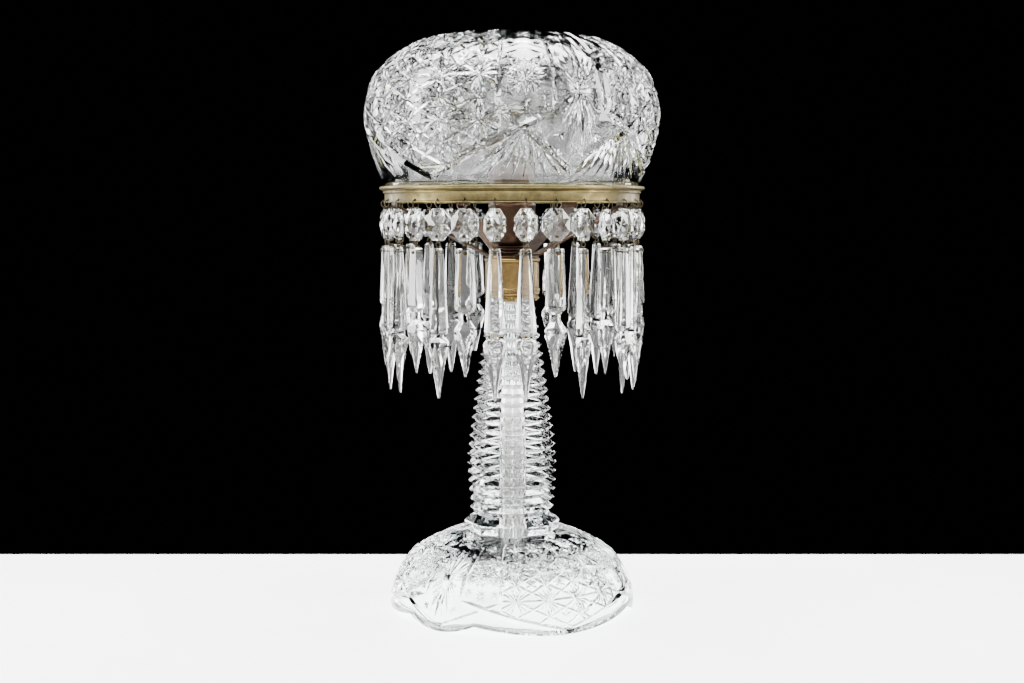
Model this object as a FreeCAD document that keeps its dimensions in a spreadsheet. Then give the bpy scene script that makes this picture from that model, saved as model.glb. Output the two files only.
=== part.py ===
import FreeCAD, Part
import math
import os
import re

import Sketcher

# Cut-glass table lamp: a one-piece glass foot and column, a brass gallery on four arms that carries
# a cut-glass dome shade, and a fringe of glass drops.  Millimetres, +Z up, the origin at the centre
# of the circle the foot stands on.  Azimuths are degrees from -Y (the front), positive towards +X.

DIMENSIONS = {
    # glass foot and column
    "foot_radius": 89.0,
    "foot_height": 54.0,
    "glass_wall": 7.5,
    "foot_ceiling_z": 42.0,
    "lobe_count": 3,
    "wide_lobe_angle": 84.0,
    "wide_lobe_azimuth": 25.0,
    "notch_height": 6.5,
    "knop_radius": 34.4,
    "knop_z": 61.5,
    "knop_base_radius": 33.0,
    "knop_top_radius": 27.6,
    "column_base_z": 68.0,
    "column_top_z": 226.0,
    "column_base_radius": 29.8,
    "column_belly_radius": 32.4,
    "column_belly_z": 109.0,
    "column_top_radius": 15.8,
    "rib_count": 24,
    "rib_depth": 3.8,
    "vertex_azimuth": 3.0,
    "bore_radius": 6.5,
    # lamp pipe and what clamps the glass
    "pipe_radius": 5.1,
    "pipe_bore_radius": 3.3,
    "pipe_bottom_z": 26.0,
    "bore_clearance": 0.1,
    "pad_thickness": 1.5,
    "washer_radius": 19.0,
    "washer_thickness": 2.0,
    "nut_flats": 17.5,
    "nut_height": 5.5,
    "bushing_height": 5.0,
    "bushing_stub": 6.0,
    "bushing_radius": 6.6,
    "cord_bore_radius": 2.4,
    # brass cap on the column, arm hub and neck rings
    "cap_radius": 19.5,
    "cap_skirt_z": 222.0,
    "cap_collar_height": 10.5,
    "cap_height": 30.5,
    "cap_wall": 1.6,
    "cap_rim": 0.9,
    "seat_thickness": 1.0,
    "seat_clearance": 0.8,
    "strap_thickness": 1.6,
    "strap_width": 11.0,
    "arm_count": 4,
    "arm_azimuth": 25.0,
    "arm_rise_z": 290.0,
    "arm_inner_radius": 11.0,
    "arm_gap": 0.25,
    "rivet_inset": 4.5,
    "rivet_radius": 1.5,
    "neck_height": 6.0,
    "neck_radius": 10.6,
    # shade gallery
    "ring_radius": 91.2,
    "ring_wall": 1.3,
    "ring_bottom_z": 292.0,
    "ring_ledge_z": 301.0,
    "ring_ledge_radius": 82.0,
    "ring_lip": 3.4,
    "ring_lip_height": 2.4,
    "drop_hole_radius": 0.95,
    "drop_hole_z": 293.9,
    # shade
    "shade_radius": 105.2,
    "shade_rim_radius": 90.0,
    "shade_height": 109.0,
    # socket
    "socket_bulge": 1.7,
    "sheet_wall": 0.8,
    "socket_cap_height": 30.0,
    "shell_radius": 15.9,
    "shell_height": 36.0,
    "core_height": 20.0,
    "core_radius": 14.2,
    "core_rise": 4.0,
    "contact_thickness": 1.5,
    "contact_radius": 4.2,
    "screw_bore_radius": 13.4,
    "key_radius": 1.6,
    "key_clearance": 0.06,
    "key_rise": 15.0,
    "key_reach": 25.0,
    "key_start": 9.5,
    "key_knob_height": 13.0,
    "key_knob_length": 9.0,
    "key_knob_thickness": 2.4,
    # lamp bulb
    "bulb_base_radius": 13.1,
    "bulb_base_height": 23.0,
    "bulb_radius": 22.5,
    "bulb_height": 78.0,
    "bulb_wall": 0.8,
    "bulb_gap": 0.4,
    "bulb_contact_height": 3.0,
    # fringe of drops
    "drop_count": 28,
    "drop_azimuth": -7.107,
    "hook_radius": 2.7,
    "wire_radius": 0.4,
    "bead_width": 18.6,
    "bead_height": 21.4,
    "bead_depth": 9.0,
    "bead_edge": 2.2,
    "bead_top_drop": 6.2,
    "pin_inset": 3.2,
    "pin_head_radius": 1.3,
    "pin_hole_radius": 0.75,
    "eye_radius": 1.6,
    "spear_gap": 4.8,
    "long_body": 56.0,
    "short_body": 40.0,
    "long_neck": 6.6,
    "short_neck": 14.0,
    "long_point": 38.0,
    "short_point": 31.0,
    "spear_width": 14.4,
}

# Outlines as shares of (radius, height), from the rim up to the crown.
FOOT_OUTLINE = [(0.998, 0.0), (1.0, 0.08), (0.993, 0.19), (0.97, 0.335), (0.93, 0.465), (0.885, 0.59),
                (0.83, 0.70), (0.76, 0.775), (0.655, 0.87), (0.5, 0.975), (0.35, 1.0)]
SHADE_OUTLINE = [(0.0, 0.0), (0.03, 0.03), (0.20, 0.08), (0.52, 0.184), (0.75, 0.289), (0.935, 0.393),
                 (1.0, 0.49)]
CROWN_OUTLINE = [(1.0, 0.49), (0.985, 0.58), (0.955, 0.69), (0.919, 0.754), (0.868, 0.806), (0.805, 0.858),
                 (0.735, 0.905), (0.615, 0.957), (0.45, 0.985), (0.25, 0.997), (0.0, 1.0)]

# Which drops carry the short waisted spear, and how far each bead and spear is turned on its wire.
SHORT_DROPS = (2, 4, 7, 10, 13, 16, 19, 22, 25, 27)
BEAD_TURNS = {0: 52, 1: -44, 4: 18, 5: -14, 8: 24, 11: -35, 15: 62, 18: -20, 21: 40, 24: -16, 26: 12}
SPEAR_TURNS = {0: 8, 1: -6, 3: 14, 6: -25, 9: 40, 12: -12, 14: 20, 17: -30, 20: 16, 23: -18, 27: 26}

doc = FreeCAD.newDocument("cut_glass_lamp")
sheet = doc.addObject("Spreadsheet::Sheet", "dims")
for row, (alias, value) in enumerate(DIMENSIONS.items(), start=1):
    sheet.set("A%d" % row, alias)
    sheet.set("B%d" % row, str(value))
    sheet.setAlias("B%d" % row, alias)
doc.recompute()


def size(alias):
    """One driving dimension, read back from the sheet."""
    return float(sheet.get(alias))


def bound(text):
    """An expression on the sheet's cells: every alias gets the sheet's name."""
    return re.sub(r"[a-z_]{4,}", lambda word: "dims." + word.group(0), text)


nodes = []


def keep(obj, label):
    """Name a finished sub-part and list it for export."""
    obj.Label = label
    nodes.append(obj)
    return obj


def solid_feature(label, shape, placement=FreeCAD.Placement()):
    """A sub-part whose shape is made directly from the sheet's sizes."""
    feature = doc.addObject("Part::Feature", label)
    feature.Shape = shape
    feature.Placement = placement
    return keep(feature, label)


def origin_plane(body, role):
    return [plane for plane in body.Origin.OriginFeatures if plane.Role == role][0]


def outline_sketch(body, name, role, points):
    """A closed outline of straight sides; each corner is (across, up) as expressions on the sheet."""
    sketch = body.newObject("Sketcher::SketchObject", name)
    sketch.AttachmentSupport = [(origin_plane(body, role), "")]
    sketch.MapMode = "FlatFace"
    count = len(points)
    guess = [FreeCAD.Vector(10 + 9 * math.cos(2 * math.pi * k / count),
                            10 + 9 * math.sin(2 * math.pi * k / count), 0) for k in range(count)]
    for k in range(count):
        sketch.addGeometry(Part.LineSegment(guess[k], guess[(k + 1) % count]), False)
    for k in range(count):
        sketch.addConstraint(Sketcher.Constraint("Coincident", k, 2, (k + 1) % count, 1))
    for k, (across, up) in enumerate(points):
        for kind, text, start in (("DistanceX", across, guess[k].x), ("DistanceY", up, guess[k].y)):
            index = sketch.addConstraint(Sketcher.Constraint(kind, k, 1, start))
            sketch.setExpression("Constraints[%d]" % index, bound(text))
    return sketch


def turned_body(label, points):
    """A body turned about the lamp's axis from a closed outline of (radius, z) expressions."""
    body = doc.addObject("PartDesign::Body", label)
    sketch = outline_sketch(body, label + "_outline", "XZ_Plane", points)
    revolution = body.newObject("PartDesign::Revolution", label + "_turn")
    revolution.Profile = sketch
    revolution.ReferenceAxis = (sketch, ["V_Axis"])
    revolution.Angle = 360
    body.Tip = revolution
    return body


def turned(label, points):
    """A turned body that is a sub-part as it stands."""
    return keep(turned_body(label, points), label)


def washer(label, inner, outer, bottom, top):
    return turned(label, [(inner, bottom), (outer, bottom), (outer, top), (inner, top)])


def direction(azimuth):
    angle = math.radians(azimuth)
    return FreeCAD.Vector(math.sin(angle), -math.cos(angle), 0)


def facing(azimuth, z=0.0, radius=0.0):
    """The placement that turns local +X outwards at an azimuth, at a radius and height."""
    turn = FreeCAD.Rotation(FreeCAD.Vector(0, 0, 1), azimuth - 90)
    return FreeCAD.Placement(direction(azimuth) * radius + FreeCAD.Vector(0, 0, z), turn)


def polygon_wire(z, radius, count=8, first=0.0):
    corners = [direction(first + 360.0 * k / count) * radius + FreeCAD.Vector(0, 0, z) for k in range(count)]
    return Part.makePolygon(corners + corners[:1])


def spline(points):
    curve = Part.BSplineCurve()
    curve.interpolate([FreeCAD.Vector(r, 0, z) for r, z in points])
    return curve.toShape()


def inward(points, wall):
    """The same open outline moved in by the wall, along its own normals."""
    moved = []
    for k, (r, z) in enumerate(points):
        before = points[max(k - 1, 0)]
        after = points[min(k + 1, len(points) - 1)]
        along = FreeCAD.Vector(after[0] - before[0], 0, after[1] - before[1]).normalize()
        moved.append((r - along.z * wall, z + along.x * wall))
    return moved


def revolved(edges):
    """A full solid of revolution about Z from edges that close an outline."""
    face = Part.Face(Part.Wire(Part.__sortEdges__(edges)))
    return face.revolve(FreeCAD.Vector(0, 0, 0), FreeCAD.Vector(0, 0, 1), 360)


def joined(shapes):
    """The union of several shapes, made one after another."""
    union = shapes[0]
    for shape in shapes[1:]:
        union = union.fuse(shape)
    return union


def line(start, end):
    return Part.makeLine(FreeCAD.Vector(start[0], 0, start[1]), FreeCAD.Vector(end[0], 0, end[1]))


# ---------------------------------------------------------------- glass foot and column

def foot_shell():
    """The hollow domed foot: splined outside and inside, flat rim, flat ceiling round the bore."""
    outer = [(r * size("foot_radius"), z * size("foot_height")) for r, z in FOOT_OUTLINE]
    shoulder = outer[:-1]
    inner = inward(shoulder, size("glass_wall"))
    inner[0] = (inner[0][0], 0.0)
    inner = [point for point in inner if point[1] < size("foot_ceiling_z") - 1.0]
    ceiling = (inner[-1][0] - size("glass_wall"), size("foot_ceiling_z"))
    edges = [
        spline(outer),
        line(outer[-1], (0.0, outer[-1][1])),
        line((0.0, outer[-1][1]), (0.0, size("foot_ceiling_z"))),
        line((0.0, size("foot_ceiling_z")), ceiling),
        spline([ceiling] + inner[::-1]),
        line(inner[0], outer[0]),
    ]
    return revolved(edges)


def lobe_cutter(azimuth, angle):
    """What is cut from under the rim so that one lobe hangs in an arc between its two notches."""
    reach = size("foot_radius") + 5.0
    half = math.radians(angle / 2.0)
    land = 0.15
    chord = size("foot_radius") * math.sin(half)
    rise = size("notch_height") + land
    arc = (chord ** 2 + rise ** 2) / (2.0 * rise)
    sector = Part.makeCylinder(reach, 2.0 + size("notch_height"), FreeCAD.Vector(0, 0, -2.0),
                               FreeCAD.Vector(0, 0, 1), angle)
    sector.rotate(FreeCAD.Vector(0, 0, 0), FreeCAD.Vector(0, 0, 1), -angle / 2.0)
    belly = Part.makeCylinder(arc, reach + 2.0, FreeCAD.Vector(-1.0, 0, arc - land), FreeCAD.Vector(1, 0, 0))
    cutter = sector.cut(belly)
    cutter.Placement = facing(azimuth).multiply(cutter.Placement)
    return cutter


def column_radius(z):
    """The corner radius of the octagonal column: a low belly and a long taper."""
    belly = size("column_belly_radius")
    if z < size("column_belly_z"):
        down = (size("column_belly_z") - z) / (size("column_belly_z") - size("column_base_z"))
        return belly - (belly - size("column_base_radius")) * down ** 2
    up = (z - size("column_belly_z")) / (size("column_top_z") - size("column_belly_z"))
    return belly - (belly - size("column_top_radius")) * up ** 1.15


def octagonal_column():
    """The knop and the stack of sharp-edged octagonal ribs, lofted level by level."""
    levels = [
        (size("foot_height") - 4.0, size("knop_base_radius") - 1.5),
        (size("foot_height") + 0.6, size("knop_base_radius")),
        (size("knop_z"), size("knop_radius")),
        (size("column_base_z"), size("knop_top_radius")),
    ]
    ribs = int(size("rib_count"))
    pitch = (size("column_top_z") - size("column_base_z")) / ribs
    for k in range(ribs):
        ridge = size("column_base_z") + (k + 0.5) * pitch
        valley = ridge + 0.5 * pitch
        levels.append((ridge, column_radius(ridge)))
        levels.append((valley, column_radius(valley) - size("rib_depth")))
    levels[-1] = (size("column_top_z"), size("column_top_radius") - 0.4 * size("rib_depth"))
    wires = [polygon_wire(z, radius, 8, size("vertex_azimuth")) for z, radius in levels]
    return Part.makeLoft(wires, True, True)


def glass_base():
    foot = foot_shell()
    step = 360.0 / size("lobe_count")
    for k in range(int(size("lobe_count"))):
        middle = size("wide_lobe_azimuth") + k * step
        foot = foot.cut(lobe_cutter(middle, size("wide_lobe_angle")))
        foot = foot.cut(lobe_cutter(middle + step / 2.0, step - size("wide_lobe_angle")))
    bore = Part.makeCylinder(size("bore_radius"), size("column_top_z") + 10.0)
    return foot.fuse(octagonal_column()).cut(bore)


solid_feature("glass_base", glass_base())

# ---------------------------------------------------------------- pipe and clamping pieces

pad_z = "foot_ceiling_z - pad_thickness"
washer_z = pad_z + " - washer_thickness"
hub_z = "cap_skirt_z + cap_height"
neck_z = hub_z + " + 2 * strap_thickness"
socket_z = neck_z + " + neck_height"
hole_radius = "pipe_radius + bore_clearance"

washer("lamp_pipe", "pipe_bore_radius", "pipe_radius", "pipe_bottom_z", socket_z + " + 3.6")
washer("foot_pad", hole_radius, "washer_radius - 1", pad_z, "foot_ceiling_z")
washer("foot_washer", hole_radius, "washer_radius", washer_z, pad_z)
turned("cord_bushing", [
    ("cord_bore_radius", "pipe_bottom_z - bushing_height"),
    ("bushing_radius - 1", "pipe_bottom_z - bushing_height"),
    ("bushing_radius", "pipe_bottom_z - bushing_height + 1"),
    ("bushing_radius", "pipe_bottom_z"),
    ("pipe_bore_radius - 0.05", "pipe_bottom_z"),
    ("pipe_bore_radius - 0.05", "pipe_bottom_z + bushing_stub"),
    ("cord_bore_radius", "pipe_bottom_z + bushing_stub"),
])


def hex_nut(label, bottom):
    """A hexagon nut on the lamp pipe, its top or bottom level given as an expression."""
    prism = doc.addObject("Part::Prism", label + "_hexagon")
    prism.Polygon = 6
    prism.setExpression("Circumradius", bound("nut_flats / 2 / cos(30 deg)").replace("dims.deg", "deg"))
    prism.setExpression("Height", bound("nut_height"))
    hole = doc.addObject("Part::Cylinder", label + "_hole")
    hole.setExpression("Radius", bound(hole_radius))
    hole.setExpression("Height", bound("nut_height"))
    nut = doc.addObject("Part::Cut", label)
    nut.Base = prism
    nut.Tool = hole
    nut.setExpression("Placement.Base.z", bound(bottom))
    return keep(nut, label)


hex_nut("foot_nut", washer_z + " - nut_height")

# ---------------------------------------------------------------- column cap, hub, neck

seat_z = "column_top_z + seat_thickness"
washer("column_seat", hole_radius, "column_top_radius - 2.5", "column_top_z", seat_z)
turned("column_cap", [
    (hole_radius, seat_z),
    ("column_top_radius + seat_clearance", seat_z),
    ("column_top_radius + seat_clearance", "cap_skirt_z"),
    ("cap_radius - 1.6", "cap_skirt_z"),
    ("cap_radius - 0.8", "cap_skirt_z + 1.6"),
    ("cap_radius - 1.6", "cap_skirt_z + 3.2"),
    ("cap_radius + 0.2", "cap_skirt_z + 5.2"),
    ("cap_radius - 1", "cap_skirt_z + 7.2"),
    ("cap_radius + 0.6", "cap_skirt_z + 8.8"),
    ("cap_radius", "cap_skirt_z + cap_collar_height"),
    ("cap_radius", hub_z + " - 2.2"),
    ("cap_radius + cap_rim", hub_z + " - 1.6"),
    ("cap_radius + cap_rim", hub_z + " - 0.4"),
    ("cap_radius + cap_rim - 0.4", hub_z),
    ("cap_radius - cap_wall", hub_z),
    ("cap_radius - cap_wall", seat_z + " + cap_wall"),
    (hole_radius, seat_z + " + cap_wall"),
])


def drilled_disc(label, radius, bottom, top):
    """A disc on the lamp pipe with one rivet hole under each arm."""
    disc = turned(label, [(hole_radius, bottom), (radius, bottom), (radius, top), (hole_radius, top)])
    sketch = disc.newObject("Sketcher::SketchObject", label + "_hole")
    sketch.AttachmentSupport = [(origin_plane(disc, "XY_Plane"), "")]
    sketch.MapMode = "FlatFace"
    sketch.addGeometry(Part.Circle(FreeCAD.Vector(14, 0, 0), FreeCAD.Vector(0, 0, 1), 1), False)
    sketch.addConstraint(Sketcher.Constraint("DistanceX", 0, 3, 14.0))
    sketch.addConstraint(Sketcher.Constraint("DistanceY", 0, 3, 0.0))
    sketch.addConstraint(Sketcher.Constraint("Radius", 0, 1.0))
    sketch.setExpression("Constraints[0]", bound("cap_radius - rivet_inset"))
    sketch.setExpression("Constraints[2]", bound("rivet_radius + 0.05"))
    pocket = disc.newObject("PartDesign::Pocket", label + "_pocket")
    pocket.Profile = sketch
    pocket.Type = "ThroughAll"
    pocket.Midplane = True
    doc.recompute()
    pattern = disc.newObject("PartDesign::PolarPattern", label + "_pattern")
    pattern.Originals = [pocket]
    pattern.Axis = (sketch, ["N_Axis"])
    pattern.Angle = 360
    pattern.setExpression("Occurrences", bound("arm_count"))
    disc.Tip = pattern
    disc.Placement = facing(size("arm_azimuth"))
    return disc


drilled_disc("spider_hub", "cap_radius - 0.3", hub_z, hub_z + " + strap_thickness")


def arm_profile(inner_radius):
    """The side view of one bent strap: flat on the hub, a long rise, a tab up the gallery's wall."""
    thick = size("strap_thickness")
    low = size("cap_skirt_z") + size("cap_height") + thick
    bend = size("cap_radius") + 0.5
    wall = size("ring_radius") - size("ring_wall") - size("arm_gap")
    rise = size("arm_rise_z")
    top = size("ring_ledge_z") - 2.4
    return [(inner_radius, low), (bend, low), (wall, rise - thick), (wall, top), (wall - thick, top),
            (wall - thick, rise + 0.4 * thick), (bend - 0.4 * thick, low + thick), (inner_radius, low + thick)]


def spider_arm():
    """One strap with its rivet hole, lying along +X."""
    side = -size("strap_width") / 2.0
    corners = [FreeCAD.Vector(r, side, z) for r, z in arm_profile(size("arm_inner_radius"))]
    face = Part.Face(Part.makePolygon(corners + corners[:1]))
    strap = face.extrude(FreeCAD.Vector(0, size("strap_width"), 0))
    hole = Part.makeCylinder(size("rivet_radius") + 0.05, 400.0,
                             FreeCAD.Vector(size("cap_radius") - size("rivet_inset"), 0, 0))
    return strap.cut(hole)


def rivet():
    """A round-headed rivet through strap and hub, along +Z at the strap's hole."""
    low = size("cap_skirt_z") + size("cap_height")
    radius = size("rivet_radius")
    shank = Part.makeCylinder(radius, 2 * size("strap_thickness") + 0.2, FreeCAD.Vector(0, 0, low))
    top = low + 2 * size("strap_thickness")
    head = Part.makeSphere(1.8 * radius, FreeCAD.Vector(0, 0, top - 0.9 * radius))
    above = Part.makeCylinder(2.4 * radius, 4.0, FreeCAD.Vector(0, 0, top))
    peened = shank.fuse(head.common(above))
    peened.translate(FreeCAD.Vector(size("cap_radius") - size("rivet_inset"), 0, 0))
    return peened


arm_step = 360.0 / size("arm_count")
arm_azimuths = [size("arm_azimuth") + k * arm_step for k in range(int(size("arm_count")))]
for number, azimuth in enumerate(arm_azimuths, start=1):
    solid_feature("spider_arm_%d" % number, spider_arm(), facing(azimuth))
rivets = []
for azimuth in arm_azimuths:
    placed = rivet()
    placed.Placement = facing(azimuth).multiply(placed.Placement)
    rivets.append(placed)
solid_feature("arm_rivets", Part.makeCompound(rivets))

turned("neck_rings", [
    (hole_radius, neck_z + " - strap_thickness"),
    ("neck_radius", neck_z + " - strap_thickness"),
    ("neck_radius", neck_z),
    ("neck_radius + 1.6", neck_z),
    ("neck_radius + 2", neck_z + " + 1"),
    ("neck_radius + 1.6", neck_z + " + 2"),
    ("neck_radius + 0.4", neck_z + " + 2.4"),
    ("neck_radius + 1.4", neck_z + " + 3.4"),
    ("neck_radius + 0.4", neck_z + " + 4.4"),
    ("neck_radius + 0.8", neck_z + " + 5.2"),
    ("neck_radius", socket_z),
    (hole_radius, socket_z),
])

# ---------------------------------------------------------------- gallery and shade

ring_wall_radius = "ring_radius - ring_wall"
ring_blank = turned_body("ring_blank", [
    (ring_wall_radius, "ring_bottom_z"),
    ("ring_radius", "ring_bottom_z"),
    ("ring_radius + 0.5", "ring_bottom_z + 0.5"),
    ("ring_radius", "ring_bottom_z + 1.1"),
    ("ring_radius - 0.3", "ring_bottom_z + 4.6"),
    ("ring_radius", "ring_ledge_z - 2.6"),
    ("ring_radius + 0.9", "ring_ledge_z - 1.8"),
    ("ring_radius + 0.9", "ring_ledge_z - 1"),
    ("ring_radius + ring_lip", "ring_ledge_z + 0.1"),
    ("ring_radius + ring_lip", "ring_ledge_z + ring_lip_height - 0.6"),
    ("ring_radius + ring_lip - 0.6", "ring_ledge_z + ring_lip_height"),
    ("ring_radius + ring_lip - 1.4", "ring_ledge_z + ring_lip_height"),
    ("ring_radius + 0.2", "ring_ledge_z"),
    ("ring_ledge_radius", "ring_ledge_z"),
    ("ring_ledge_radius", "ring_ledge_z - ring_wall"),
    (ring_wall_radius, "ring_ledge_z - ring_wall"),
])
hook_holes = []
for number in range(int(size("drop_count"))):
    azimuth = size("drop_azimuth") + 360.0 * number / size("drop_count")
    reach = size("ring_radius") - 5.0
    hook_hole = Part.makeCylinder(size("drop_hole_radius"), 12.0, FreeCAD.Vector(reach, 0, 0),
                                  FreeCAD.Vector(1, 0, 0))
    hook_hole.Placement = facing(azimuth, size("drop_hole_z")).multiply(hook_hole.Placement)
    hook_holes.append(hook_hole)
hole_tools = doc.addObject("Part::Feature", "hook_holes")
hole_tools.Shape = Part.makeCompound(hook_holes)
shade_ring = doc.addObject("Part::Cut", "shade_ring")
shade_ring.Base = ring_blank
shade_ring.Tool = hole_tools
keep(shade_ring, "shade_ring")


def shade_shell():
    """The closed mushroom dome, open at its rim, with an even wall."""
    rim = size("shade_rim_radius")
    swell = size("shade_radius") - rim
    base = size("ring_ledge_z")
    height = size("shade_height")
    flank = [(rim + share * swell, base + up * height) for share, up in SHADE_OUTLINE]
    crown = [(share * size("shade_radius"), base + up * height) for share, up in CROWN_OUTLINE]
    outer = flank + crown[1:]
    inner = inward(outer, size("glass_wall"))
    inner[0] = (inner[0][0], base)
    inner[-1] = (0.0, base + height - size("glass_wall"))
    edges = [spline(outer), spline(inner), line(outer[0], inner[0]), line(outer[-1], inner[-1])]
    return revolved(edges)


solid_feature("shade", shade_shell())

# ---------------------------------------------------------------- socket and bulb

cap_top = socket_z + " + socket_cap_height"
core_z = socket_z + " + core_rise"
core_top = core_z + " + core_height"
key_z = socket_z + " + key_rise"


def key_bore(body, label, radius, start, reach):
    """A round hole for the switch key, drilled along +Y into a turned body."""
    plane = origin_plane(body, "XZ_Plane")
    sketch = body.newObject("Sketcher::SketchObject", label)
    sketch.AttachmentSupport = [(plane, "")]
    sketch.MapMode = "FlatFace"
    sketch.addGeometry(Part.Circle(FreeCAD.Vector(0, 277, 0), FreeCAD.Vector(0, 0, 1), 1), False)
    sketch.addConstraint(Sketcher.Constraint("PointOnObject", 0, 3, -2))
    sketch.addConstraint(Sketcher.Constraint("DistanceY", 0, 3, 277.0))
    sketch.addConstraint(Sketcher.Constraint("Radius", 0, 1.0))
    sketch.setExpression("Constraints[1]", bound(key_z))
    sketch.setExpression("Constraints[2]", bound(radius))
    sketch.setExpression("AttachmentOffset.Base.z", bound("-(%s)" % start))
    pocket = body.newObject("PartDesign::Pocket", label + "_pocket")
    pocket.Profile = sketch
    pocket.Type = "Length"
    pocket.setExpression("Length", bound(reach))
    body.Tip = pocket
    return pocket


socket_cap = turned("socket_cap", [
    (hole_radius, socket_z),
    ("neck_radius + 0.4", socket_z),
    ("shell_radius + socket_bulge - 3.8", socket_z + " + 1.5"),
    ("shell_radius + socket_bulge - 1.3", socket_z + " + 6"),
    ("shell_radius + socket_bulge - 0.2", socket_z + " + 11"),
    ("shell_radius + socket_bulge", socket_z + " + 16"),
    ("shell_radius + socket_bulge - 0.4", socket_z + " + 21"),
    ("shell_radius + sheet_wall + 0.05", socket_z + " + 24"),
    ("shell_radius + sheet_wall + 0.05", cap_top),
    ("shell_radius + 0.05", cap_top),
    ("shell_radius + 0.05", socket_z + " + 24"),
    ("shell_radius + socket_bulge - 0.4 - sheet_wall", socket_z + " + 21"),
    ("shell_radius + socket_bulge - sheet_wall", socket_z + " + 16"),
    ("shell_radius + socket_bulge - 0.2 - sheet_wall", socket_z + " + 11"),
    ("shell_radius + socket_bulge - 1.3 - sheet_wall", socket_z + " + 6"),
    ("shell_radius + socket_bulge - 4.2 - sheet_wall", socket_z + " + sheet_wall + 1.5"),
    ("neck_radius - 0.6", socket_z + " + sheet_wall"),
    (hole_radius, socket_z + " + sheet_wall"),
])
key_bore(socket_cap, "key_hole", "key_radius + key_clearance", "2", "shell_radius + socket_bulge + 5")
shell_z = cap_top + " - 6"
turned("socket_shell", [
    ("shell_radius - sheet_wall", shell_z),
    ("shell_radius", shell_z),
    ("shell_radius", shell_z + " + shell_height - 3"),
    ("shell_radius + 1", shell_z + " + shell_height - 1.5"),
    ("shell_radius", shell_z + " + shell_height"),
    ("shell_radius - sheet_wall", shell_z + " + shell_height"),
])
washer("socket_liner", "shell_radius - sheet_wall - 0.75", "shell_radius - sheet_wall - 0.05",
       core_top + " - 2", shell_z + " + shell_height - 1")
socket_core = turned("socket_core", [
    ("0", core_z),
    ("core_radius - 2.2", core_z),
    ("core_radius", core_z + " + 3"),
    ("core_radius", core_top),
    ("0", core_top),
])
key_bore(socket_core, "key_seat", "key_radius + key_clearance", "9", "10")
screw_top = core_top + " + bulb_base_height + 3"
washer("screw_shell", "screw_bore_radius", "screw_bore_radius + 0.5", core_top, screw_top)
washer("centre_contact", "0", "contact_radius", core_top, core_top + " + contact_thickness")


def socket_level():
    """Height of the socket's lower edge: the cap, hub, strap and neck stacked on the column."""
    return size("cap_skirt_z") + size("cap_height") + 2 * size("strap_thickness") + size("neck_height")


def bulb_level():
    """Height of the bulb's screw base: the contact's thickness and gap above the socket's core."""
    core_top_level = socket_level() + size("core_rise") + size("core_height")
    return core_top_level + size("contact_thickness") + size("bulb_gap") + size("bulb_contact_height")


def switch_key():
    """The turn key: a shaft from the socket's core out through its cap, and a flat two-winged knob."""
    level = socket_level() + size("key_rise")
    reach = size("key_reach")
    start = size("key_start")
    thick = size("key_knob_thickness")
    tall = size("key_knob_height")
    outwards = FreeCAD.Vector(0, 1, 0)
    shaft = Part.makeCylinder(size("key_radius"), reach - start, FreeCAD.Vector(0, start, level), outwards)
    hub = Part.makeCone(size("key_radius") + 1.0, size("key_radius") + 1.8, 5.0,
                        FreeCAD.Vector(0, reach - 4.0, level), outwards)
    wings = Part.makeBox(thick, size("key_knob_length"), tall,
                         FreeCAD.Vector(-thick / 2.0, reach, level - tall / 2.0))
    wings = wings.makeFillet(3.5, [edge for edge in wings.Edges if abs(edge.tangentAt(0).x) > 0.9])
    return joined([shaft, hub, wings])


solid_feature("switch_key", switch_key())

contact_top = core_top + " + contact_thickness"
bulb_z = contact_top + " + bulb_gap"
base_z = bulb_z + " + bulb_contact_height"
washer("bulb_contact", "0", "contact_radius + 0.3", bulb_z, base_z)
turned("bulb_base", [
    ("0", base_z),
    ("contact_radius + 1.8", base_z),
    ("bulb_base_radius - 2", base_z + " + 3"),
    ("bulb_base_radius", base_z + " + 4.5"),
    ("bulb_base_radius", base_z + " + bulb_base_height"),
    ("bulb_base_radius - 0.5", base_z + " + bulb_base_height"),
    ("bulb_base_radius - 0.5", base_z + " + 5.5"),
    ("0", base_z + " + 5.5"),
])


def bulb_envelope():
    """The blown bulb: a round globe that flows into a neck held inside the screw base."""
    base = bulb_level()
    neck = size("bulb_base_radius") - 0.6
    centre = base - size("bulb_contact_height") + size("bulb_height") - size("bulb_radius")
    radius = size("bulb_radius")
    globe = [(radius * math.cos(math.radians(a)), centre + radius * math.sin(math.radians(a)))
             for a in range(-45, 91, 15)]
    globe[-1] = (0.0, centre + radius)
    outer = [(neck, base + 8.0), (neck, base + size("bulb_base_height") + 0.5)] + globe
    inner = inward(outer, size("bulb_wall"))
    inner[0] = (inner[0][0], outer[0][1])
    inner[-1] = (0.0, outer[-1][1] - size("bulb_wall"))
    return revolved([spline(outer), spline(inner), line(outer[0], inner[0]), line(outer[-1], inner[-1])])


def bulb_mount():
    """The glass stem with its flare, and two support wires that hold the filament."""
    base = bulb_level()
    flare = Part.makeCone(9.0, 3.0, 6.0, FreeCAD.Vector(0, 0, base + 9.0))
    stem = Part.makeCylinder(3.0, 20.0, FreeCAD.Vector(0, 0, base + 15.0))
    mount = flare.fuse(stem)
    for side in (-1.0, 1.0):
        foot = FreeCAD.Vector(side * 1.8, 0, base + 34.0)
        lead = Part.makeCylinder(0.4, 14.0, foot, FreeCAD.Vector(side * 0.55, 0, 1))
        mount = mount.fuse(lead)
    return mount


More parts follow.
